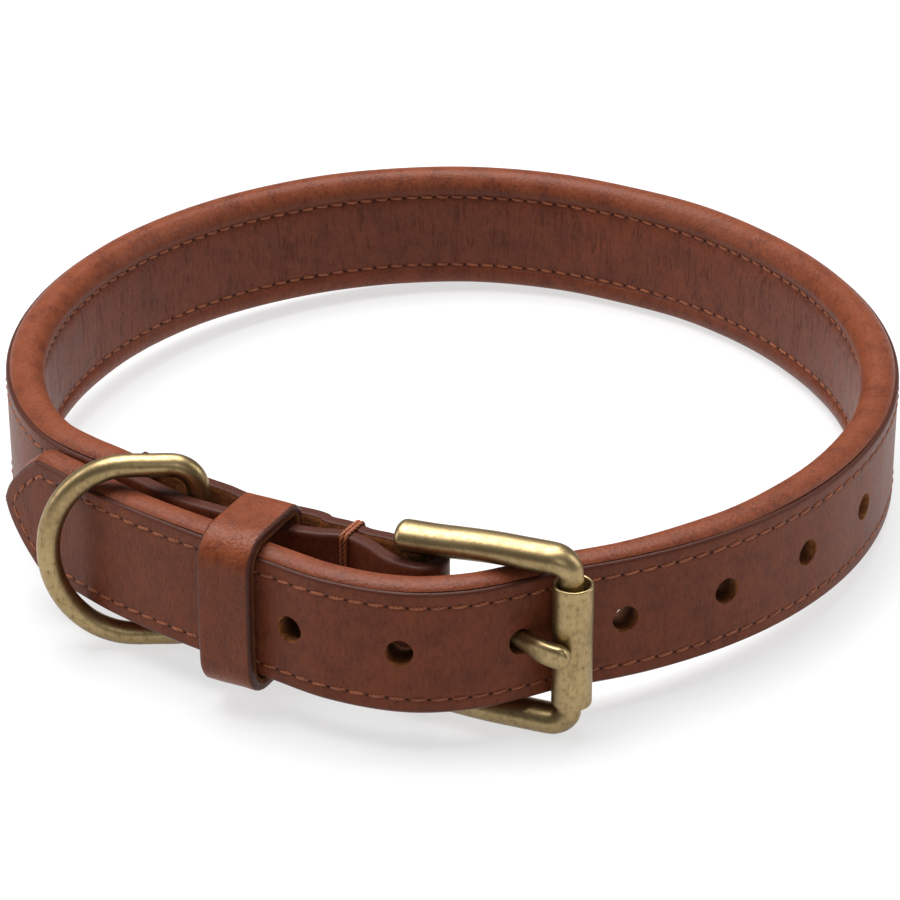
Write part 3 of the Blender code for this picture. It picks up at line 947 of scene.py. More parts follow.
def cut_out(mesh: bpy.types.Mesh, cutters: list[bpy.types.Mesh]) -> bpy.types.Mesh:
    """Takes cutters out of a mesh, giving the cut walls the cutters' material.

    Args:
        mesh: the closed mesh to cut.
        cutters: closed meshes.

    Returns:
        The cut mesh.
    """
    thing = bpy.data.objects.new("cut_piece", mesh)
    bpy.context.scene.collection.objects.link(thing)
    for cutter_mesh in cutters:
        cutter = bpy.data.objects.new("cutter", cutter_mesh)
        bpy.context.scene.collection.objects.link(cutter)
        change = thing.modifiers.new("cut", "BOOLEAN")
        change.operation = "DIFFERENCE"
        change.solver = "EXACT"
        change.material_mode = "TRANSFER"
        change.object = cutter
        bpy.context.view_layer.update()
        graph = bpy.context.evaluated_depsgraph_get()
        result = bpy.data.meshes.new_from_object(thing.evaluated_get(graph))
        thing.modifiers.clear()
        thing.data = result
        bpy.data.objects.remove(cutter)
    result.name = mesh.name
    bpy.data.objects.remove(thing)
    return result


def tube(name: str, line: np.ndarray, radius: np.ndarray, across: np.ndarray, out: np.ndarray,
         sides: int, looped: bool) -> bpy.types.Mesh:
    """Round wire along a line.

    Args:
        name: the mesh's name.
        line: places of the middle.
        radius: radius at each place.
        across: sideways unit direction at each place.
        out: second unit direction at each place.
        sides: points round it.
        looped: whether it closes on itself.

    Returns:
        The mesh.
    """
    turn = 2 * np.pi * np.arange(sides) / sides
    rings = (line[:, None] + across[:, None] * (radius[:, None] * np.cos(turn))[..., None]
             + out[:, None] * (radius[:, None] * np.sin(turn))[..., None])
    return skin(name, rings, looped)


@dataclass
class StitchRow:
    """Row of stitches along both edges of the strip and round its pointed end."""

    plan: StripPlan
    end: float
    inset: float = 0.0029
    pitch: float = 0.0037
    thread: float = 0.00030
    slit: float = 0.00080
    lean: float = 0.00014
    uneven_place: float = 0.00006
    uneven_lean: float = 0.00005
    overlap: float = 0.00010
    strand_height: float = 0.15
    strand_twist: float = 4.2

    def __post_init__(self) -> None:
        """Traces the row from the point of the tip to the straight part."""
        run = np.concatenate([np.linspace(0.0, 0.001, 40), np.linspace(0.00102, 0.03, 900)])
        half = self.plan.middle * self.plan.tip_share(run)
        half[0] = 0.0
        edge = np.stack([run, half], axis=1)
        way = np.gradient(edge, axis=0)
        way /= np.linalg.norm(way, axis=1, keepdims=True)
        line = edge + np.stack([way[:, 1], -way[:, 0]], axis=1) * self.inset
        apart = np.array([np.min(np.linalg.norm(edge - spot, axis=1)) for spot in line])
        line = line[(apart > self.inset * 0.985) & (line[:, 1] > 0.0)]
        line = np.concatenate([[[line[0, 0] - 0.0001, 0.0]], line])
        for _ in range(60):
            line[1:-1] = (line[:-2] + line[2:]) / 2 * 0.5 + line[1:-1] * 0.5
        self.line = line
        steps = np.linalg.norm(np.diff(line, axis=0), axis=1)
        self.track = np.concatenate([[0.0], np.cumsum(steps)])
        self.edge = edge

    @property
    def rise(self) -> float:
        """Rise of the straight rows."""
        return self.plan.middle - self.inset

    def place(self, track: np.ndarray) -> tuple[np.ndarray, np.ndarray]:
        """Runs and rises of places along the upper row.

        Args:
            track: distances along the row.

        Returns:
            Runs and rises.
        """
        past = np.maximum(track - self.track[-1], 0.0)
        run = np.interp(track, self.track, self.line[:, 0]) + past
        rise = np.interp(track, self.track, self.line[:, 1])
        return run, rise

    def measure(self, run: np.ndarray, rise: np.ndarray) -> tuple[np.ndarray, np.ndarray]:
        """Distances from the row and along it, for places on the strip.

        Args:
            run: runs of the places.
            rise: rises of the places.

        Returns:
            Signed distance beyond the row and distance along it.
        """
        tall = np.abs(rise)
        off = tall - self.rise
        track = self.track[-1] + run - self.line[-1, 0]
        near = run < self.line[-1, 0] - 0.002
        if np.any(near):
            spots = np.stack([run[near], tall[near]], axis=1)
            apart = np.linalg.norm(spots[:, None] - self.line[None, ::4], axis=2)
            best = np.argmin(apart, axis=1)
            to_edge = np.min(np.linalg.norm(spots[:, None] - self.edge[None, ::6], axis=2), axis=1)
            sign = np.where(to_edge < self.inset, 1.0, -1.0)
            off[near] = np.min(apart, axis=1) * sign
            track[near] = self.track[::4][best]
        return off, track

    def edge_inset(self, run: np.ndarray, inset: np.ndarray) -> np.ndarray:
        """True distance in from the outline where the strip narrows to its point.

        Args:
            run: runs.
            inset: insets measured across a full section.

        Returns:
            The true distances.
        """
        plan = self.plan
        true = np.array(inset)
        near = run < 0.028
        rise = plan.middle * plan.tip_share(run) * (1.0 - inset / plan.middle)
        spots = np.stack([run[near], rise[near]], axis=1)
        apart = np.linalg.norm(spots[:, None] - self.edge[None, ::4], axis=2)
        true[near] = np.minimum(np.min(apart, axis=1), inset[near])
        return true

    def stitches(self, space: CollarSpace, name: str, surface: Surface, facing: Facing,
                 seed: int) -> bpy.types.Mesh:
        """Builds every stitch of one face.

        Args:
            space: where the strip lies.
            name: the mesh's name.
            surface: gives the depth of the leather's surface at the row for runs.
            facing: the face that the stitches lie on.
            seed: seed of their small unevenness.

        Returns:
            The mesh of all stitches.
        """
        chance = np.random.RandomState(seed)
        sides, rings = THREAD_SIDES, 11
        count = int((self.end + self.track[-1] - self.line[-1, 0]) / self.pitch)
        share = np.linspace(-1.0, 1.0, rings)
        body = np.sqrt(np.clip(1.0 - share**2, 0.0, 1.0))
        points, faces, groove = [], [], []
        turn = 2 * np.pi * np.arange(sides) / sides
        for side in (1.0, -1.0):
            for index in range(count):
                middle = (index + 0.5) * self.pitch + chance.uniform(
                    -self.uneven_place, self.uneven_place)
                reach = (self.pitch - self.slit) / 2 * chance.uniform(0.94, 1.06) + self.overlap
                track = middle + share * reach
                run, rise = self.place(np.maximum(track, 0.0))
                lean = self.lean + chance.uniform(-self.uneven_lean, self.uneven_lean)
                forward, out, up = space.axes(run)
                slope = np.gradient(rise, track)
                flow = np.gradient(run, track)
                ahead = forward * flow[:, None] + up * (slope * side)[:, None]
                beside = np.cross(out, ahead)
                beside /= np.linalg.norm(beside, axis=1, keepdims=True)
                lift = (body * 1.15 - 1.25) * self.thread * chance.uniform(0.9, 1.1)
                line = space.on_strip(run, surface(run) + facing.value * lift, rise * side)
                line = line + beside * (share * lean)[:, None]
                fat = self.thread * (0.62 + 0.38 * body)
                twist = share[:, None] * self.strand_twist + index
                lobes = np.cos(STRANDS * (turn[None] - twist))
                size = fat[:, None] * (1.0 + self.strand_height * lobes)
                ring = (line[:, None] + beside[:, None] * (size * np.cos(turn))[..., None] * 1.12
                        + out[:, None] * (size * np.sin(turn))[..., None])
                base = len(points)
                points += ring.reshape(-1, 3).tolist()
                groove += (0.5 - 0.5 * lobes).ravel().tolist()
                for row in range(rings - 1):
                    for step in range(sides):
                        here = base + row * sides + step
                        after = base + row * sides + (step + 1) % sides
                        faces.append((here, after, after + sides, here + sides))
                faces.append(tuple(base + step for step in range(sides))[::-1])
                faces.append(tuple(base + (rings - 1) * sides + step for step in range(sides)))
        mesh = bpy.data.meshes.new(name)
        mesh.from_pydata(points, [], faces)
        work = bmesh.new()
        work.from_mesh(mesh)
        bmesh.ops.recalc_face_normals(work, faces=work.faces)
        work.to_mesh(mesh)
        work.free()
        painted(mesh, "groove", np.array(groove))
        shaded(mesh)
        return mesh


@dataclass
class Strap:
    """Outer leather strip with its holes, tongue slot and both its faces."""

    space: CollarSpace
    row: StitchRow
    grain: bpy.types.Material
    raw: bpy.types.Material
    edge_round: float = 0.00070
    back_round: float = 0.0004
    groove: float = 0.00016
    groove_wide: float = 0.00055
    hole_flare: float = 0.00028
    long_wave: float = 0.00007
    short_wave: float = 0.000035
    settle: float = 0.00005
    unsewn: float = 0.006
    edge_veil: float = 0.20
    hole_reach: float = 0.01

    def stations(self) -> np.ndarray:
        """Runs of the sections, closest at the tip and round the heel bar.

        Returns:
            The runs.
        """
        path = self.space.path
        tip = np.array([0.00002, 0.0001, 0.00025, 0.00045, 0.0007, 0.001, 0.0014, 0.0019])
        near = np.arange(0.0025, 0.014, 0.0006)
        places = [0.014]
        while places[-1] < path.length - 0.0004:
            here = places[-1]
            first = path.frames(here)[1]
            second = path.frames(min(here + 0.0008, path.length))[1]
            turn = math.acos(max(-1.0, min(1.0, float(first @ second))))
            places.append(min(here + (0.0010 if turn < 0.06 else 0.00035), path.length))
        return np.concatenate([tip, near, places])

    def layout(self) -> tuple[np.ndarray, np.ndarray, np.ndarray]:
        """Inset, side and layer of each point round a section.

        Returns:
            Insets from the edge, side (1 upper, -1 lower), and layer, which is 1 on the
            outer face, 0 on the back and between them on the edge's wall.
        """
        swing = np.radians(np.array([0.0, 18.0, 36.0, 54.0, 72.0, 90.0]))
        face = np.concatenate([self.edge_round * (1 - np.cos(swing)),
                               np.arange(0.0013, 0.0046, 0.0003),
                               [0.0054, 0.0068, 0.0086, 0.0105]])
        back = np.concatenate([self.back_round * (1 - np.cos(swing[::2])),
                               [0.0016, 0.0045, 0.0085]])
        middle = self.space.plan.middle
        wall = np.array([0.75, 0.5, 0.25])
        inset, side, layer = [], [], []
        for places, which, level in (
            (face, 1.0, 1.0), ([middle], 1.0, 1.0), (face[::-1], -1.0, 1.0),
            (None, -1.0, wall), (back, -1.0, 0.0), ([middle], 1.0, 0.0),
            (back[::-1], 1.0, 0.0), (None, 1.0, wall[::-1]),
        ):
            if places is None:
                inset += [0.0] * len(level)
                side += [which] * len(level)
                layer += list(level)
            else:
                inset += list(places)
                side += [which] * len(places)
                layer += [level] * len(places)
        return np.array(inset), np.array(side), np.array(layer)

    def build(self) -> bpy.types.Object:
        """Builds the strip and dresses it.

        Returns:
            The strip.
        """
        space, plan = self.space, self.space.plan
        inset, side, layer = self.layout()
        run = self.stations()
        runs = np.repeat(run[:, None], len(inset), axis=1)
        insets = np.repeat(inset[None], len(run), axis=0)
        true = self.row.edge_inset(runs.ravel(), insets.ravel()).reshape(runs.shape)
        last = np.clip(space.path.length - runs, 0.0, 1.0)
        true = np.minimum(true, last)
        rise = plan.middle * plan.tip_share(runs) * (1.0 - insets / plan.middle) * side
        half = plan.thick / 2
        sewn = 1.0 - ease(runs, self.row.end - self.unsewn, self.row.end + self.unsewn)
        face = half - rounding(true, self.edge_round)
        back = -half + rounding(true, self.back_round)
        back = back + plan.pared(true) * sewn
        depth = back + (face - back) * layer
        off = self.row.measure(runs.ravel(), rise.ravel())[0].reshape(runs.shape)
        dip = np.exp(-((off / self.groove_wide) ** 2)) * self.groove * sewn
        wave = ripple(runs * 90.0, rise * 60.0, 3.0) * self.long_wave
        wave += ripple(runs * 260.0, rise * 70.0, 5.0) * self.short_wave
        clear_of_row = 1 - np.exp(-((off / 0.001) ** 2))
        settled = (self.settle - wave) * ease(true, 0.0005, 0.003) * clear_of_row
        depth = depth - (dip + settled) * (layer > 0.99)
        points = space.on_strip(runs, depth, rise)
        mesh = skin("strap_leather_strip", points)
        finished(mesh, self.grain, self.raw)
        self.turn_flesh(mesh, layer, true)
        marks = (points.reshape(-1, 3), runs.ravel(), depth.ravel())
        mesh = cut_out(mesh, [hole_cutters(space, self.hole_flare, self.raw),
                              slot_cutter(space, self.raw)])
        self.mark_up(mesh, marks)
        shaded(mesh, 38.0)
        piece = show(mesh, Body.COLLAR)
        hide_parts("strap")
        return piece

    def turn_flesh(self, mesh: bpy.types.Mesh, layer: np.ndarray, true: np.ndarray) -> None:
        """Gives the back of the strip and its turned-back end their raw flesh finish.

        Args:
            mesh: the uncut strip.
            layer: layer of each point round a section.
            true: true distance in from the outline, by section and point.
        """
        inside = true[:-1] > self.back_round * 0.8
        behind = (layer < 0.01) & (np.roll(layer, -1) < 0.01)
        flesh = behind & (inside | np.roll(inside, -1, axis=1))
        flags = np.concatenate([flesh.ravel(), [False, True]]).astype(np.int32)
        mesh.polygons.foreach_set("material_index", flags)

    def mark_up(self, mesh: bpy.types.Mesh, marks: tuple[np.ndarray, ...]) -> None:
        """Paints the burnished edge and the stitch row on the cut mesh.

        Args:
            mesh: the strip after its holes are cut.
            marks: places, runs and depths of the uncut strip's points.
        """
        run, depth, rise = strip_places(self.space, mesh, marks)
        plan = self.space.plan
        half = plan.middle * plan.tip_share(run)
        inset = self.row.edge_inset(run, (half - np.abs(rise)) / np.maximum(half, 1e-6)
                                    * plan.middle)
        inset = np.minimum(inset, np.clip(self.space.path.length - run, 0, 1))
        burnish = 1.0 - ease(inset, 0.0001, 0.0009)
        burnish = np.maximum(burnish, self.edge_veil * (1.0 - ease(inset, 0.0008, 0.0026)))
        off, track = self.row.measure(run, rise)
        off = np.where((depth > 0) & (run < self.row.end), off, FAR_OFF)
        in_hole = run < self.space.holes()[-1] + self.hole_reach
        # Painted shade: raw walls darken the deeper they lie in a hole.
        sunk = 0.85 * ease(plan.thick / 2 - depth, 0.0007, 0.0024) * in_hole
        marked(mesh, burnish=burnish, row_off=off * MILLIMETRES, row_beat=track / self.row.pitch,
               worn=0.35, pull=0.0, sunk=sunk)


def strip_places(space: CollarSpace, mesh: bpy.types.Mesh,
                 marks: tuple[np.ndarray, ...]) -> tuple[np.ndarray, np.ndarray, np.ndarray]:
    """Runs, depths and rises of a cut mesh's points, from the nearest uncut points.

    Args:
        space: where the strip lies.
        mesh: the cut mesh.
        marks: places, runs and depths of the uncut points.

    Returns:
        Run, depth and rise of each point.
    """
    places, runs, depths = marks
    tree = KDTree(len(places))
    for index, place in enumerate(places.tolist()):
        tree.insert(place, index)
    tree.balance()
    points = mesh_points(mesh)
    nearest = np.array([tree.find(point)[1] for point in points.tolist()])
    forward, out, _ = space.axes(runs[nearest])
    apart = points - places[nearest]
    run = runs[nearest] + np.einsum("ij,ij->i", apart, forward)
    depth = depths[nearest] + np.einsum("ij,ij->i", apart, out)
    rise = (points - space.shift) @ space.turn[:, 2] - space.plan.middle
    return run, depth, rise


def hole_cutters(space: CollarSpace, flare: float, raw: bpy.types.Material) -> bpy.types.Mesh:
    """Cutters of the adjustment holes, opened a little at both faces.

    Args:
        space: where the strip lies.
        flare: how much wider a hole is at the face.
        raw: material of the cut walls.

    Returns:
        One mesh of all cutters.
    """
    plan = space.plan
    radius = plan.hole_diameter / 2
    face = plan.thick / 2
    back = face - plan.thick - plan.gap - plan.lining_thick
    # Depth and radius of each ring, from before the face to beyond the lining.
    rows = ((face + 0.0022, radius + flare * 1.5), (face + 0.0001, radius + flare * 1.1),
            (face - 0.00025, radius + flare * 0.35), (face - 0.0006, radius),
            (back + 0.0018, radius), (back + 0.0012, radius + flare * 0.5),
            (back - 0.0016, radius + flare * 1.6))
    turn = 2 * np.pi * (np.arange(40) + 0.5) / 40
    meshes = []
    for index, run in enumerate(space.holes()):
        lean = plan.tongue_hole_lean if index == plan.tongue_hole else 0.0
        forward, out, up = space.axes(np.array(run))
        centre = space.on_strip(np.array(run), np.array(0.0), np.array(0.0))
        rings = []
        for depth, size in rows:
            middle = centre + (out + forward * lean) * depth
            rings.append(middle + size * (forward * np.cos(turn)[:, None]
                                          + up * np.sin(turn)[:, None]))
        meshes.append(skin("hole", np.array(rings)))
    whole = joined("holes", meshes)
    finished(whole, raw)
    return whole


def slot_cutter(space: CollarSpace, raw: bpy.types.Material) -> bpy.types.Mesh:
    """Cutter of the slot that lets the tongue through the fold.

    Args:
        space: where the strip lies.
        raw: material of the cut walls.

    Returns:
        The cutter.
    """
    plan = space.plan
    _, along, outward = plan.face_frame(plan.heel_angle)
    bend = plan.heel_bar / 2 + plan.gap + plan.thick
    slot_width, ease_each_side = 0.0044, 0.0005
    behind, beyond, beside = 0.0018, 0.0020, 0.0010
    tall = slot_width / 2 + ease_each_side
    wide = bend + beside
    rings = []
    for reach in (-bend - behind, bend + plan.fold_slack + beyond):
        ring = []
        for out, rise in ((-wide, -tall), (wide, -tall), (wide, tall), (-wide, tall)):
            spot = plan.heel_centre + along * reach + outward * out
            ring.append((spot[0], spot[1], plan.middle + rise))
        rings.append(ring)
    mesh = skin("tongue_slot", space.world(np.array(rings)))
    finished(mesh, raw)
    return mesh


@dataclass
class Lining:
    """Padded lining with a roll above and below the strip and a sewn panel to the neck."""

    space: CollarSpace
    row: StitchRow
    soft: bpy.types.Material
    raw: bpy.types.Material
    clear: float = 0.00008
    roll_front: float = 0.00070
    lip_turn: int = 74
    lip_gap: float = 0.00015
    lower_roll: float = 0.0003
    panel_half: float = 0.0095
    swell_neck: float = 0.0008
    tail_to_body: float = 0.02
    fold_height: float = 0.00010
    fine_fold_height: float = 0.00006
    roll_unevenness: float = 0.00010
    pucker_height: float = 0.00004
    pucker_off: float = 0.0013
    pucker_width: float = 0.0012
    seam_width: float = 0.0008
    end_length: float = 0.0016
    end_squeeze: float = 0.55
    pad_middle: float = -0.0034
    lip_start: float = 0.00010
    lip_step: int = 12
    tip_stand: float = 0.35
    least_roll: float = 0.31
    hole_flare: float = 0.0003
    roll_pull: float = 0.60
    roll_worn: float = 0.12
    # Distances in from the strip's edge at which the lining's front is set out.
    seat_insets: tuple[float, ...] = (0.0088, 0.0058, 0.0034, 0.0028, 0.0022, 0.0016, 0.0010,
                                      0.0005, 0.0001)
    # Rises on a full section at which its neck side is set out.
    neck_rises: tuple[float, ...] = (0.0093, 0.0091, 0.0089, 0.0087, 0.0085, 0.0084, 0.0082,
                                     0.0080, 0.0077, 0.0074, 0.0069, 0.0063, 0.0054, 0.0042,
                                     0.0028, 0.0014, 0.0)
    # Rise on a full section, depth behind the strip's middle.
    neck_rows: tuple[Row, ...] = (
        (0.0, 0.00540), (0.0030, 0.00540), (0.0058, 0.00532), (0.0070, 0.00520),
        (0.0078, 0.00503), (0.0084, 0.00484), (0.0088, 0.00492), (0.0092, 0.00522),
        (0.0096, 0.00556),
    )

    def stations(self) -> np.ndarray:
        """Runs of the sections.

        Returns:
            The runs.
        """
        tip = np.array([0.00005, 0.0002, 0.0005, 0.0009, 0.0014, 0.002, 0.0028, 0.0037])
        return np.concatenate([tip, np.arange(0.0046, self.space.lining_end, 0.0010),
                               [self.space.lining_end]])

    def padding(self, run: np.ndarray) -> tuple[np.ndarray, np.ndarray]:
        """Thickness beside a full one, and how far the body swells, at runs.

        Args:
            run: runs from the tip.

        Returns:
            Share of the full thickness, and the swell.
        """
        plan = self.space.plan
        grow = np.clip(run / (2 * plan.tip_length), 0.0, 1.0)
        thick = plan.tip_lining_thick + (plan.lining_thick - plan.tip_lining_thick) * grow
        body = ease(run, self.space.tail_end, self.space.tail_end + self.tail_to_body)
        return thick / plan.lining_thick, body * self.swell_neck

    def neck_depth(self, run: np.ndarray, rise: float) -> np.ndarray:
        """Depth of the neck side at a rise of the full section.

        Args:
            run: runs from the tip.
            rise: rise on a full section.

        Returns:
            The depths, which are negative.
        """
        plan = self.space.plan
        share, swell = self.padding(run)
        seat = plan.thick / 2 + plan.gap
        return -(seat + (hermite(self.neck_rows, rise) - seat) * share + swell)

    def section(self, run: float) -> list[tuple[float, float]]:
        """Depth and rise of the points of one section, from its front middle upward.

        Args:
            run: its run from the tip.

        Returns:
            Depth and rise of each point.
        """
        plan = self.space.plan
        share = float(plan.tip_share(np.array(run)))
        blend = min(max((run - self.space.tail_end) / self.tail_to_body, 0.0), 1.0)
        stand = plan.tail_roll_stand + (plan.roll_stand - plan.tail_roll_stand) * blend
        strip = plan.middle * share
        half = strip + stand * min(1.0, self.tip_stand + share)
        turned = math.radians(self.lip_turn)
        front = (half - strip - self.lip_gap) / (1.0 - math.cos(turned))
        broad = max(half - self.panel_half, half * self.least_roll)
        points = []
        for inset in (plan.middle, *self.seat_insets):
            near = inset * share
            pared = float(plan.pared(np.array(near)))
            points.append((pared - plan.thick / 2 - self.clear, strip - near))
        padding, swell = self.padding(np.array(run))
        neck = plan.thick / 2 + plan.gap + plan.lining_thick * float(padding) + float(swell)
        reach = (self.roll_front + neck) / 2
        lip = float(np.clip(share, 0.1, 1.0))
        points.append((self.lip_start, strip + 0.00009))
        points.append((self.lip_start + (self.roll_front - 0.00035) * lip, strip + 0.00012))
        for turn in range(self.lip_turn, -91, -self.lip_step):
            swing = math.radians(turn)
            tall = front if turn >= 0 else broad
            points.append((self.roll_front - reach + reach * math.sin(swing),
                           half - tall * (1.0 - math.cos(swing))))
        scale = (half - broad) / self.panel_half
        for rise in self.neck_rises:
            points.append((float(self.neck_depth(np.array(run), rise)), rise * scale))
        return points

    def build(self) -> bpy.types.Object:
        """Builds the lining and dresses it.

        Returns:
            The lining.
        """
        space, plan = self.space, self.space.plan
        run = self.stations()
        upper = np.array([self.section(float(place)) for place in run])
        lower = upper[:, -2:0:-1] * np.array([1.0, -1.0])
        over = np.maximum(-lower[..., 1] - plan.middle * plan.tip_share(run)[:, None], 0.0)
        body = ease(run, space.tail_end, space.tail_end + self.tail_to_body)[:, None]
        lower[..., 1] += over * self.lower_roll / plan.roll_stand * body
        section = np.concatenate([upper, lower], axis=1)
        depth, rise = section[..., 0], section[..., 1]
        runs = np.repeat(run[:, None], depth.shape[1], axis=1)
        neck = ease(-depth, 0.0036, 0.0046)
        tall = np.abs(rise)
        seam = np.exp(-(((tall - self.row.rise) / self.seam_width) ** 2))
        roll = ease(tall, 0.0090, 0.0102)
        fold = ripple(runs * 230.0 + rise * 9.0, rise * 80.0, 11.0) * self.fold_height
        fine = ripple(runs * 560.0 - rise * 16.0, rise * 110.0, 12.0)
        fold += fine * self.fine_fold_height
        swell = ripple(runs * 55.0, np.sign(rise), 13.0) * self.roll_unevenness * roll
        pucker = np.cos(2 * np.pi * runs / self.row.pitch) * self.pucker_height
        beside = (tall - self.row.rise - self.pucker_off) / self.pucker_width
        pucker = pucker * np.exp(-(beside**2))
        depth = depth + neck * ((fold * (1 - 0.75 * roll) + pucker) * (1 - seam) - swell)
        rise = rise + swell * np.sign(rise)
        end = np.clip((space.lining_end - runs) / self.end_length, 0.0, 1.0)
        squeeze = 1.0 - np.sqrt(np.clip(1.0 - (1.0 - end) ** 2, 0.0, 1.0))
        depth = depth + (self.pad_middle - depth) * squeeze * self.end_squeeze
        points = space.on_strip(runs, depth, rise)
        mesh = skin("padded_lining", points)
        finished(mesh, self.soft, self.raw)
        marks = (points.reshape(-1, 3), runs.ravel(), depth.ravel())
        mesh = cut_out(mesh, [hole_cutters(space, self.hole_flare, self.raw)])
        self.mark_up(mesh, marks)
        shaded(mesh, 42.0)
        piece = show(mesh, Body.COLLAR)
        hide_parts("lining")
        return piece

    def mark_up(self, mesh: bpy.types.Mesh, marks: tuple[np.ndarray, ...]) -> None:
        """Paints the stitch row and the creased panel on the neck side.

        Args:
            mesh: the lining after its holes are cut.
            marks: places, runs and depths of the uncut lining's points.
        """
        run, depth, rise = strip_places(self.space, mesh, marks)
        off, track = self.row.measure(run, rise)
        neck = (depth < -0.0035) & (run < self.row.end)
        panel = 1.0 - ease(np.abs(rise), 0.0082, 0.0098)
        # The sunk mark paints shade on the raw walls of the holes.
        marked(mesh, burnish=0.0, row_off=np.where(neck, off, FAR_OFF) * MILLIMETRES,
               row_beat=track / self.row.pitch,
               worn=self.roll_worn + (1.0 - self.roll_worn) * panel * neck,
               pull=self.roll_pull * ease(np.abs(rise), 0.0092, 0.0116), sunk=0.9)


@dataclass
class Keeper:
    """Leather loop that holds the tail against the folded layer."""

    space: CollarSpace
    grain: bpy.types.Material
    raw: bpy.types.Material
    width: float = 0.0110
    front: float = 0.0156
    corner: float = 0.0040
    back_corner: float = 0.0020
    crown: float = 0.0004
    edge_round: float = 0.00075
    unevenness: float = 0.00006
    corner_pull: float = 1.6
    edge_burnish: float = 0.0009

    def loop_line(self) -> tuple[np.ndarray, np.ndarray]:
        """Middle of the band's thickness and its outward directions, as out and rise.

        Returns:
            Points and unit normals round the loop.
        """
        plan = self.space.plan
        half = plan.keeper_thick / 2
        low, high = -plan.keeper_ease - half, self.front + half
        tall = plan.tail_half + plan.leg_ease + half
        points, normals = [], []
        centres = ((high, tall, 0), (low, tall, 90), (low, -tall, 180), (high, -tall, 270))
        for out, rise, start in centres:
            radius = (self.corner if out == high else self.back_corner) + half
            middle = (out - radius if out == high else out + radius,
                      rise - radius if rise > 0 else rise + radius)
            for step in range(13):
                turn = math.radians(start + 90 * step / 12)
                points.append((middle[0] + radius * math.cos(turn),
                               middle[1] + radius * math.sin(turn)))
                normals.append((math.cos(turn), math.sin(turn)))
            following = centres[(start // 90 + 1) % 4]
            ahead = (self.corner if following[0] == high else self.back_corner) + half
            gone = {0: (following[0] + ahead, tall), 90: (low, -tall + ahead),
                    180: (following[0] - ahead, -tall), 270: (high, tall - ahead)}[start]
            last, way = np.array(points[-1]), np.array(normals[-1])
            for part in np.linspace(0.0, 1.0, 12)[1:-1]:
                points.append(tuple(last + (np.array(gone) - last) * part))
                normals.append(tuple(way))
        points, normals = np.array(points), np.array(normals)
        share = np.clip(1.0 - (points[:, 1] / tall) ** 2, 0.0, 1.0)
        points[:, 0] += np.where(points[:, 0] > high - self.corner, self.crown * share, 0.0)
        return points, normals

    def profile(self) -> np.ndarray:
        """Section of the band, as places along the strip and out of the band's middle.

        Returns:
            Points in order round the section.
        """
        half, thick = self.width / 2, self.space.plan.keeper_thick / 2
        radius = self.edge_round
        section = []
        for centre_along, centre_thick, start in (
            (half - radius, thick - radius, 90), (radius - half, thick - radius, 180),
        ):
            swing = np.radians(start - np.arange(0, 91, 18))
            section.append(np.stack([centre_along + radius * np.cos(swing),
                                     centre_thick + radius * np.sin(swing)], axis=1))
        right, left = section
        face = np.stack([np.linspace(radius - half, half - radius, 14)[1:-1],
                         np.full(12, thick)], axis=1)
        tight = radius * 0.35
        inner = np.array([(half, -thick * 0.2), (half, tight - thick), (half - tight, -thick),
                          (half * 0.5, -thick), (0.0, -thick), (-half * 0.5, -thick),
                          (tight - half, -thick), (-half, tight - thick), (-half, -thick * 0.2)])
        points = np.concatenate([left, face, right, inner])
        return points[np.argsort(np.unwrap(np.arctan2(points[:, 1], points[:, 0])))]

    def build(self) -> bpy.types.Object:
        """Builds the loop.

        Returns:
            The loop.
        """
        plan = self.space.plan
        half, thick = self.width / 2, plan.keeper_thick / 2
        flesh, along, outward = plan.face_frame(plan.keeper_angle)
        sag = self.width**2 / (8 * plan.loop_radius)
        base = flesh - outward * (plan.thick + sag)
        line, normal = self.loop_line()
        profile = self.profile()
        count = len(line)
        bend = ripple(np.arange(count)[:, None] * 0.45, profile[None, :, 0] * 420.0, 21.0)
        soft = bend * self.unevenness * (profile[None, :, 1] > thick * 0.9)
        reach = profile[None, :, 1] + soft
        flat = line[:, None] + normal[:, None] * reach[..., None]
        plan_points = (base + outward * flat[..., :1] + along * profile[None, :, :1])
        mesh = skin("keeper_loop", self.space.over(plan_points, flat[..., 1:]), looped=True)
        finished(mesh, self.grain, self.raw)
        out_part = np.broadcast_to(profile[None, :, 1], (count, len(profile)))
        side_part = np.broadcast_to(np.abs(profile[None, :, 0]), out_part.shape)
        here = out_part < -thick * 0.15
        raw_face = here & np.roll(here, -1, axis=1)
        mesh.polygons.foreach_set("material_index", raw_face.ravel().astype(np.int32))
        bent = np.abs(normal[:, 0] * normal[:, 1])[:, None] * self.corner_pull
        # The sunk mark paints shade on the loop's raw inner face, which lies against the tail.
        marked(mesh, burnish=ease(side_part, half - self.edge_burnish, half - 0.0001),
               row_off=FAR_OFF * MILLIMETRES, row_beat=0.0, worn=0.5,
               pull=np.clip(bent * (out_part > 0), 0.0, 1.0), sunk=0.55)
        shaded(mesh, 50.0)
        piece = show(mesh, Body.COLLAR)
        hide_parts("keeper")
        return piece


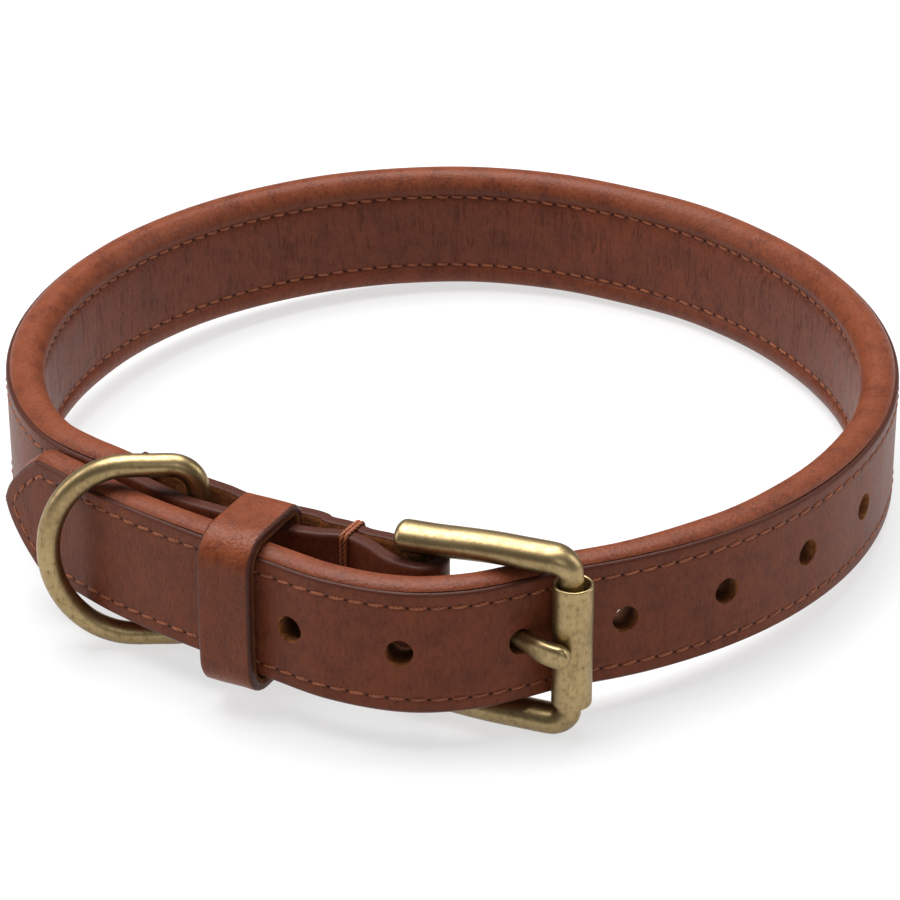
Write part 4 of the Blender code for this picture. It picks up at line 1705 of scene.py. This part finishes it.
@dataclass
class Buckle:
    """Roller buckle: frame, roller and tongue."""

    space: CollarSpace
    brass: bpy.types.Material
    front_bar: float = 0.0046
    frame_corner: float = 0.0034
    leg_look: float = 0.0058
    leg_broad: float = 1.22
    heel_lean: float = 0.0010
    leg_past: float = 0.0023
    leg_dome: float = 0.0017
    taper: float = 0.20
    frame_reach: float = 0.0297
    frame_turn: float = -20.6
    roller_diameter: float = 0.0075
    roller_wall: float = 0.0007
    roller_length: float = 0.0250
    roller_sides: int = 72
    wire_points: int = 240
    wire_sides: int = 28
    tongue_thick: float = 0.0030
    shank_width: float = 0.0035
    tip_width: float = 0.0047
    tip_thick: float = 0.0030
    eye_thick: float = 0.0018
    past_roller: float = 0.0014
    nose: float = 0.0022
    eye_share: float = 0.62
    squareness: float = 0.72
    along: np.ndarray = field(init=False)
    out: np.ndarray = field(init=False)
    roller_centre: np.ndarray = field(init=False)

    def __post_init__(self) -> None:
        """Sets the frame's directions and the roller's place."""
        turn = math.radians(self.frame_turn)
        self.along = np.array([math.cos(turn), math.sin(turn)])
        self.out = np.array([self.along[1], -self.along[0]])
        play = ((self.roller_diameter - self.front_bar) / 2 - self.roller_wall
                - self.space.plan.gap)
        heel = self.space.plan.heel_centre
        self.roller_centre = heel + self.along * (self.frame_reach + play)

    @property
    def leg_rise(self) -> float:
        """Rise of a leg's middle line."""
        plan = self.space.plan
        return plan.tail_half + plan.leg_ease + plan.leg_thick / 2

    def frame_rows(self) -> np.ndarray:
        """Middle line of legs and front bar as rows of along, rise, radius and breadth.

        Returns:
            The rows, from one leg's end round to the other's.
        """
        middle, corner, tall = self.space.plan.middle, self.frame_corner, self.leg_rise
        leg, front = self.leg_look / 2, self.front_bar / 2
        rows = []
        low = tall - self.heel_lean
        for turn in (88, 76, 62, 46, 30, 14):
            swing = math.radians(turn)
            rows.append((-self.leg_past - self.leg_dome * math.sin(swing), low,
                         leg * math.cos(swing) ** 0.8, self.leg_broad))
        reach = self.frame_reach - corner
        for share in (0.0, 0.2, 0.4, 0.6, 0.8, 1.0):
            rows.append((-self.leg_past + (reach + self.leg_past) * share,
                         tall - self.heel_lean * float(1.0 - ease(np.array(share), 0.0, 0.7)),
                         leg - (leg - front) * self.taper * share, self.leg_broad))
        for turn in (20, 42, 65, 90):
            swing = math.radians(turn)
            rows.append((self.frame_reach - corner + corner * math.sin(swing),
                         tall - corner + corner * math.cos(swing),
                         leg + (front - leg) * (self.taper + (1.0 - self.taper)
                                                * (turn / 90) ** 2),
                         self.leg_broad + (1.0 - self.leg_broad) * turn / 90))
        rows.append((self.frame_reach, middle * 0.9, front, 1.0))
        rows.append((self.frame_reach, middle * 0.45, front, 1.0))
        mirrored = [(along, -rise, *size) for along, rise, *size in reversed(rows)]
        return np.array(rows + [(self.frame_reach, 0.0, front, 1.0)] + mirrored)

    def build_frame(self) -> bpy.types.Object:
        """Builds the buckle's frame: heel bar, two heavy legs and the front bar.

        Returns:
            The frame.
        """
        plan = self.space.plan
        where = (plan.heel_centre, self.along, self.out)
        legs = plane_wire("legs", self.space,
                          smooth_curve(self.frame_rows(), self.wire_points, False),
                          where, self.wire_sides, looped=False)
        bar_rows = np.array([(0.0, self.leg_rise * part, plan.heel_bar / 2)
                             for part in np.linspace(0.92, -0.92, 24)])
        bar = plane_wire("bar", self.space, bar_rows, where, 24, looped=False)
        mesh = joined("brass_frame", [legs, bar])
        piece = brass_piece(mesh, Body.COLLAR, self.brass)
        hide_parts("buckle_frame")
        return piece

    def build_roller(self) -> bpy.types.Object:
        """Builds the roller, a thin tube with turned rims.

        Returns:
            The roller.
        """
        outer = self.roller_diameter / 2
        inner = outer - self.roller_wall
        half = self.roller_length / 2
        lip = self.roller_wall * 0.42
        section = []
        for sign in (1.0, -1.0):
            part = []
            for turn in (0, 30, 60, 90):
                swing = math.radians(turn)
                part.append((outer - lip + lip * math.cos(swing),
                             sign * (half - lip + lip * math.sin(swing)), 1.0))
            part.append((inner + lip, sign * half, 1.0))
            part.append((inner, sign * (half - lip), 0.4))
            section += part if sign > 0 else part[::-1]
        body = [(outer, rise * half, 0.0) for rise in (-0.97, -0.8, -0.4, 0.0, 0.4, 0.8, 0.97)]
        section = np.array(section + body)
        turn = 2 * np.pi * np.arange(self.roller_sides) / self.roller_sides
        away = np.stack([np.cos(turn), np.sin(turn)], axis=1)
        plan_points = self.roller_centre + away[:, None] * section[None, :, :1]
        places = self.space.over(plan_points, section[None, :, 1:2])
        mesh = skin("brass_roller", places, looped=True)
        rim = np.broadcast_to(section[None, :, 2], (len(turn), len(section)))
        piece = brass_piece(mesh, Body.COLLAR, self.brass, rim, 60.0)
        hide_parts("buckle_roller")
        return piece

    def tongue_line(self) -> np.ndarray:
        """Plan points of the tongue's middle from the heel bar to its tip.

        Returns:
            The plan points.
        """
        plan = self.space.plan
        eye = plan.heel_bar / 2 + plan.gap * 1.5 + self.eye_thick / 2
        hole, along, outward = plan.face_frame(plan.tongue_hole_angle)
        points = []
        for turn in range(-200, 46, 15):
            swing = math.radians(turn)
            away = self.along * math.sin(swing) + self.out * math.cos(swing)
            points.append(plan.heel_centre + away * eye)
        depth = plan.thick + plan.gap + plan.lining_thick
        points.append(hole - outward * (depth + 0.0026) - along * 0.0062)
        points.append(hole - outward * depth * 0.72 - along * 0.0030)
        points.append(hole - outward * depth * 0.2 + along * 0.0004)
        lift = self.roller_diameter / 2 + plan.gap + self.tip_thick / 2
        for turn, ease_off in ((55, 0.0013), (30, 0.0003), (8, 0.00003)):
            swing = math.radians(turn)
            away = self.out * math.cos(swing) - self.along * math.sin(swing)
            points.append(self.roller_centre + away * (lift + ease_off))
        points.append(self.roller_centre + self.along * self.past_roller + self.out * lift)
        return np.array(points)

    def build_tongue(self) -> bpy.types.Object:
        """Builds the tongue: an eye round the heel bar and a shank on the roller.

        Returns:
            The tongue.
        """
        space = self.space
        points = self.tongue_line()
        apart = np.sqrt(np.linalg.norm(np.diff(points, axis=0), axis=1))
        knots = np.concatenate([[0.0], np.cumsum(apart)])
        rows = [tuple(zip(knots, points[:, axis])) for axis in range(2)]
        dense = np.array([[hermite(row, value) for row in rows]
                          for value in np.linspace(0.0, knots[-1], 600)])
        line = PlanPath(dense)
        hole_run = line.nearest(space.plan.face_point(space.plan.tongue_hole_angle), line.length)
        run = np.concatenate([np.linspace(0.0, line.length - self.nose, 76),
                              line.length - self.nose * (1 - np.linspace(0, 1, 16)[1:]) ** 1.6])
        point, _, outward = line.frames(run)
        eye_end = hole_run * self.eye_share
        grow = np.clip((run - eye_end * 0.75) / (eye_end * 0.25), 0.0, 1.0)
        thick = self.eye_thick / 2 + (self.tongue_thick - self.eye_thick) / 2 * grow
        spread = ease(run, hole_run, hole_run + 0.005)
        shank = ease(run, eye_end * 0.75, eye_end)
        wide = self.tongue_thick / 2 + (self.shank_width - self.tongue_thick) / 2 * shank
        wide = wide + (self.tip_width - self.shank_width) / 2 * spread
        thick = thick + (self.tip_thick / 2 - thick) * spread
        left = np.clip((line.length - run) / self.nose, 0.0, 1.0)
        close = np.sqrt(np.clip(1.0 - (1.0 - left) ** 2, 0.02, 1.0))
        turn = 2 * np.pi * np.arange(self.wire_sides) / self.wire_sides
        bulge = 0.5 + 0.5 * close
        power = self.squareness + (1.0 - self.squareness) * (1.0 - spread)
        shape_out = np.sign(np.cos(turn)) * np.abs(np.cos(turn))[None] ** power[:, None]
        shape_up = np.sign(np.sin(turn)) * np.abs(np.sin(turn))[None] ** power[:, None]
        depth = (thick * bulge)[:, None] * shape_out
        rise = (wide * close)[:, None] * shape_up
        flat = point[:, None] + outward[:, None] * depth[..., None]
        mesh = skin("brass_tongue", space.over(flat, rise[..., None]))
        rim = np.abs(shape_up) * spread[:, None] * 0.9
        rim = rim * (np.abs(shape_up) > 0.7)
        piece = brass_piece(mesh, Body.COLLAR, self.brass, rim)
        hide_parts("buckle_tongue")
        return piece

    def build(self) -> list[bpy.types.Object]:
        """Builds all three pieces."""
        return [self.build_frame(), self.build_roller(), self.build_tongue()]


def smooth_curve(rows: np.ndarray, count: int, looped: bool) -> np.ndarray:
    """Even points on a smooth curve through rows of numbers.

    Args:
        rows: control rows; the first two columns are a place.
        count: how many points.
        looped: whether the curve closes on itself.

    Returns:
        Rows on the curve.
    """
    if looped:
        ring = np.concatenate([rows[-1:], rows, rows[:2]])
    else:
        ring = np.concatenate([2 * rows[:1] - rows[1:2], rows, 2 * rows[-1:] - rows[-2:-1]])
    dense = []
    for index in range(1, len(ring) - 2):
        before, start, end, after = ring[index - 1:index + 3]
        spans = [max(float(np.linalg.norm(far[:2] - near[:2])), 1e-9)
                 for near, far in ((before, start), (start, end), (end, after))]
        into = (end - before) / (spans[0] + spans[1]) * spans[1]
        away = (after - start) / (spans[1] + spans[2]) * spans[1]
        for t in np.linspace(0.0, 1.0, 24, endpoint=False):
            dense.append((2 * t**3 - 3 * t**2 + 1) * start + (t**3 - 2 * t**2 + t) * into
                         + (-2 * t**3 + 3 * t**2) * end + (t**3 - t**2) * away)
    dense = np.array(dense + [dense[0] if looped else rows[-1]])
    run = np.concatenate([[0.0], np.cumsum(np.linalg.norm(np.diff(dense[:, :2], axis=0), axis=1))])
    places = run[-1] * np.arange(count) / (count if looped else count - 1)
    return np.stack([np.interp(places, run, dense[:, axis])
                     for axis in range(dense.shape[1])], axis=1)


def plane_wire(name: str, space: CollarSpace, rows: np.ndarray,
               where: tuple[np.ndarray, np.ndarray, np.ndarray], sides: int,
               drop: float = 0.0, looped: bool = True) -> bpy.types.Mesh:
    """Wire through rows of along, rise and radius in an upright plane.

    Args:
        name: the mesh's name.
        space: where the collar lies.
        rows: along, rise, radius and, where the wire isn't round, its breadth over its height.
        where: plan place that they are measured from, direction of the first column, and
            direction across the plane.
        sides: points round the wire.
        drop: how much lower than the strip's middle it sits.
        looped: whether the wire closes on itself.

    Returns:
        The mesh.
    """
    centre, along, out = where
    places = rows[:, :2]
    if looped:
        ahead = np.roll(places, -1, axis=0) - np.roll(places, 1, axis=0)
    else:
        ahead = np.gradient(places, axis=0)
    ahead /= np.linalg.norm(ahead, axis=1, keepdims=True)
    line = space.over(centre + rows[:, :1] * along, rows[:, 1:2] - drop)
    across = np.concatenate([-ahead[:, 1:] * along, ahead[:, :1]], axis=1)
    broad = rows[:, 3:4] if rows.shape[1] > 3 else 1.0
    push = np.broadcast_to(np.array([out[0], out[1], 0.0]), across.shape) * broad
    return tube(name, line, rows[:, 2], across @ space.turn.T, push @ space.turn.T,
                sides, looped=looped)


@dataclass
class DRing:
    """Hinged D-ring for the leash."""

    space: CollarSpace
    brass: bpy.types.Material
    half_height: float = 0.0183
    straight: float = 0.0128
    bow: float = 0.0160
    corner: float = 0.0050
    drop: float = 0.0004
    direction: float = 181.5

    def build(self) -> bpy.types.Object:
        """Builds the ring round its straight bar.

        Returns:
            The ring.
        """
        radius = self.space.plan.d_wire / 2
        tall, corner = self.half_height, self.corner
        rows = [(0.0, rise, radius) for rise in (0.0, tall * 0.4, tall - corner)]
        for turn in (22, 45, 68, 90):
            swing = math.radians(turn)
            rows.append((corner - corner * math.cos(swing),
                         tall - corner + corner * math.sin(swing), radius))
        rows.append(((corner + self.straight) / 2, tall, radius))
        for step in range(10):
            swing = math.radians(90 - 9.5 * step)
            rows.append((self.straight + self.bow * math.cos(swing), tall * math.sin(swing),
                         radius))
        mirrored = [(along, -rise, size) for along, rise, size in reversed(rows[1:])]
        rows = rows + [(self.straight + self.bow, 0.0, radius)] + mirrored
        turn = math.radians(self.direction)
        along = np.array([math.cos(turn), math.sin(turn)])
        out = np.array([along[1], -along[0]])
        mesh = plane_wire("brass_d_ring", self.space, smooth_curve(np.array(rows), 240, True),
                          (self.space.plan.d_bar_centre, along, out), 28, self.drop)
        piece = brass_piece(mesh, Body.RING, self.brass)
        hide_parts("d_ring")
        return piece


@dataclass
class ThreadWrap:
    """Turns of thread drawn round the layers behind the tail."""

    space: CollarSpace
    thread: bpy.types.Material
    name: str
    angle: float
    back: float
    half: float
    turns: int
    size: float = 0.00036
    step: float = 0.00072
    corner: float = 0.0010
    sway: float = 0.00018
    strand_height: float = 0.12
    strand_twist: float = 0.5712

    def build(self) -> bpy.types.Object:
        """Builds the turns side by side.

        Returns:
            The wrap.
        """
        plan = self.space.plan
        meshes = []
        clear = self.size * 0.95
        for index in range(self.turns):
            shift = (index - (self.turns - 1) / 2) * self.step
            point, along, outward = plan.face_frame(self.angle)
            corner = self.corner
            low, high = -self.back - clear, clear
            tall = self.half + clear
            line = []
            for out, rise, start in ((high, tall, 0), (low, tall, 90), (low, -tall, 180),
                                     (high, -tall, 270)):
                for step in range(7):
                    turn = math.radians(start + 15 * step)
                    centre_out = out - corner if out == high else out + corner
                    centre_rise = rise - corner if rise > 0 else rise + corner
                    line.append((centre_out + corner * math.cos(turn),
                                 centre_rise + corner * math.sin(turn), self.size))
            rows = smooth_curve(np.array(line), 220, True)
            round_turn = np.linspace(0, 2 * np.pi, len(rows), endpoint=False)
            lean = np.sin(round_turn + index) * self.sway
            ahead = np.roll(rows, -1, axis=0)[:, :2] - np.roll(rows, 1, axis=0)[:, :2]
            ahead /= np.linalg.norm(ahead, axis=1, keepdims=True)
            flat = (point + outward * rows[:, :1] + along * (shift + lean)[:, None])
            middle = self.space.over(flat, rows[:, 1:2])
            side = np.concatenate([ahead[:, 1:] * outward, -ahead[:, :1]], axis=1)
            run = np.broadcast_to(np.array([along[0], along[1], 0.0]), side.shape)
            turn = 2 * np.pi * np.arange(THREAD_SIDES) / THREAD_SIDES
            twist = np.arange(len(rows))[:, None] * self.strand_twist
            lobes = np.cos(STRANDS * (turn[None] - twist))
            radius = self.size * (1.0 + self.strand_height * lobes)
            rings = (middle[:, None]
                     + (side @ self.space.turn.T)[:, None] * (radius * np.cos(turn))[..., None]
                     + (run @ self.space.turn.T)[:, None] * (radius * np.sin(turn))[..., None])
            mesh = skin("turn", rings, looped=True)
            painted(mesh, "groove", 0.5 - 0.5 * lobes)
            meshes.append(mesh)
        whole = joined(self.name, meshes)
        shaded(whole)
        finished(whole, self.thread)
        return show(whole, Body.COLLAR)


@dataclass
class Studio:
    """Floor, light and camera."""

    space: CollarSpace
    pitch: float = 27.48
    camera_back: float = 0.6316
    camera_up: float = 0.3410
    focal_pixels: float = 3471.4
    frame_pixels: float = 900.0
    centre_x: float = 453.0
    centre_y: float = 403.2
    sensor: float = 36.0
    floor_side: float = 6.0
    floor_glow: float = 2.30
    sky_strength: float = 0.15

    def floor(self) -> None:
        """Lays a large pale floor."""
        mesh = bpy.data.meshes.new("studio_floor")
        side = self.floor_side
        mesh.from_pydata([(-side, -side, 0), (side, -side, 0), (side, side, 0),
                          (-side, side, 0)], [], [(0, 1, 2, 3)])
        mesh.materials.append(PaleFloor("floor_white", (0.28, 0.28, 0.28), self.floor_glow).make())
        floor = bpy.data.objects.new("studio_floor", mesh)
        bpy.context.scene.collection.objects.link(floor)

    def lamp(self, name: str, place: Row, aim: Row, size: Row, power: float) -> None:
        """Adds one soft box.

        Args:
            name: its name.
            place: where it hangs.
            aim: the place that it faces.
            size: its width and height.
            power: watts.
        """
        data = bpy.data.lights.new(name, "AREA")
        data.shape = "RECTANGLE"
        data.size, data.size_y = size
        data.energy = power
        lamp = bpy.data.objects.new(name, data)
        lamp.location = place
        lamp.rotation_euler = (Vector(aim) - Vector(place)).to_track_quat("-Z", "Y").to_euler()
        bpy.context.scene.collection.objects.link(lamp)

    def light(self) -> None:
        """Sets the soft studio light."""
        world = bpy.data.worlds.new("studio_world")
        world.use_nodes = True
        sky = world.node_tree.nodes["Background"].inputs
        sky["Color"].default_value = (1.0, 1.0, 1.0, 1.0)
        sky["Strength"].default_value = self.sky_strength
        bpy.context.scene.world = world
        collar_middle = (0.0, 0.0, 0.02)
        self.lamp("overhead_box", (-0.1, 0.20, 0.90), (0.0, 0.0, 0.0), (1.0, 0.7), 19.0)
        self.lamp("left_box", (-0.95, 0.05, 0.45), collar_middle, (0.4, 0.7), 3.0)
        self.lamp("right_box", (0.95, 0.15, 0.45), collar_middle, (0.4, 0.7), 3.0)
        self.lamp("front_fill", (0.25, -1.1, 0.75), collar_middle, (0.5, 0.4), 1.5)
        bpy.context.scene.view_settings.view_transform = "Standard"

    def camera(self) -> None:
        """Sets the camera where the photograph was taken from."""
        data = bpy.data.cameras.new("photo_camera")
        data.sensor_width = self.sensor
        data.lens = self.focal_pixels / self.frame_pixels * self.sensor
        half = self.frame_pixels / 2
        data.shift_x = (half - self.centre_x) / self.frame_pixels
        data.shift_y = (self.centre_y - half) / self.frame_pixels
        data.clip_start = 0.01
        camera = bpy.data.objects.new("photo_camera", data)
        swing = math.radians(self.pitch)
        axes = Matrix(((1.0, 0.0, 0.0, 0.0),
                       (0.0, math.sin(swing), -math.cos(swing), -self.camera_back),
                       (0.0, math.cos(swing), math.sin(swing), self.camera_up),
                       (0.0, 0.0, 0.0, 1.0)))
        camera.matrix_world = self.space.rest @ axes
        bpy.context.scene.collection.objects.link(camera)
        bpy.context.scene.camera = camera

    def build(self) -> None:
        """Sets floor, light and camera."""
        self.floor()
        self.light()
        self.camera()


def main() -> None:
    """Builds the collar's pieces in order."""
    logging.basicConfig(level=logging.INFO, format="%(name)s %(message)s")
    plan = StripPlan()
    space = CollarSpace(plan)
    strap_finish = WaxedLeather(
        "chestnut_strap", brown=(0.114, 0.0275, 0.0125), tan=(0.168, 0.0425, 0.0170),
        shade=(0.060, 0.0145, 0.0075), grain=1.0, shine=0.13).make()
    lining_finish = WaxedLeather(
        "chestnut_lining", brown=(0.104, 0.0250, 0.0120), tan=(0.150, 0.0375, 0.0165),
        shade=(0.050, 0.0125, 0.0065), grain=1.6, shine=0.15, crease_shade=0.50).make()
    keeper_finish = WaxedLeather(
        "chestnut_keeper", brown=(0.120, 0.0275, 0.0110), tan=(0.165, 0.0400, 0.0135),
        shade=(0.064, 0.0160, 0.0080), grain=2.0, shine=0.17, pull=(0.200, 0.0480, 0.0150),
        edge=(0.060, 0.0175, 0.0105), rough=0.38).make()
    raw = RawLeather("raw_flesh_side", pale=(0.270, 0.098, 0.030), deep=(0.120, 0.038, 0.013),
                     hollow_shade=(0.028, 0.010, 0.005)).make()
    thread = WaxedThread("rust_thread", bright=(0.36, 0.105, 0.038),
                         dark=(0.14, 0.037, 0.015)).make()
    brass = AntiqueBrass("satin_antique_brass", bright=(0.40, 0.298, 0.148),
                         aged=(0.285, 0.204, 0.098), brown=(0.135, 0.086, 0.038),
                         rough=0.38).make()
    sewn_end = space.lining_end - 0.004
    row = StitchRow(plan, sewn_end)
    neck_row = StitchRow(plan, sewn_end, inset=0.0041, thread=0.00034)
    Studio(space).build()
    Strap(space, row, strap_finish, raw).build()
    lining = Lining(space, neck_row, lining_finish, raw)
    lining.build()
    outside = row.stitches(space, "outside_stitches",
                           lambda run: np.full_like(run, plan.thick / 2 - STITCH_SUNK),
                           Facing.OUTSIDE, 4)
    neck = neck_row.stitches(space, "neck_stitches",
                             lambda run: lining.neck_depth(run, neck_row.rise), Facing.NECK, 5)
    for stitches in (outside, neck):
        finished(stitches, thread)
        show(stitches, Body.COLLAR)
    Keeper(space, keeper_finish, raw).build()
    Buckle(space, brass).build()
    DRing(space, brass).build()
    ThreadWrap(space, thread, "buckle_thread_wrap", angle=255.4,
               back=2 * plan.thick + 2 * plan.gap, half=plan.middle, turns=2).build()


if __name__ == "__main__":
    main()
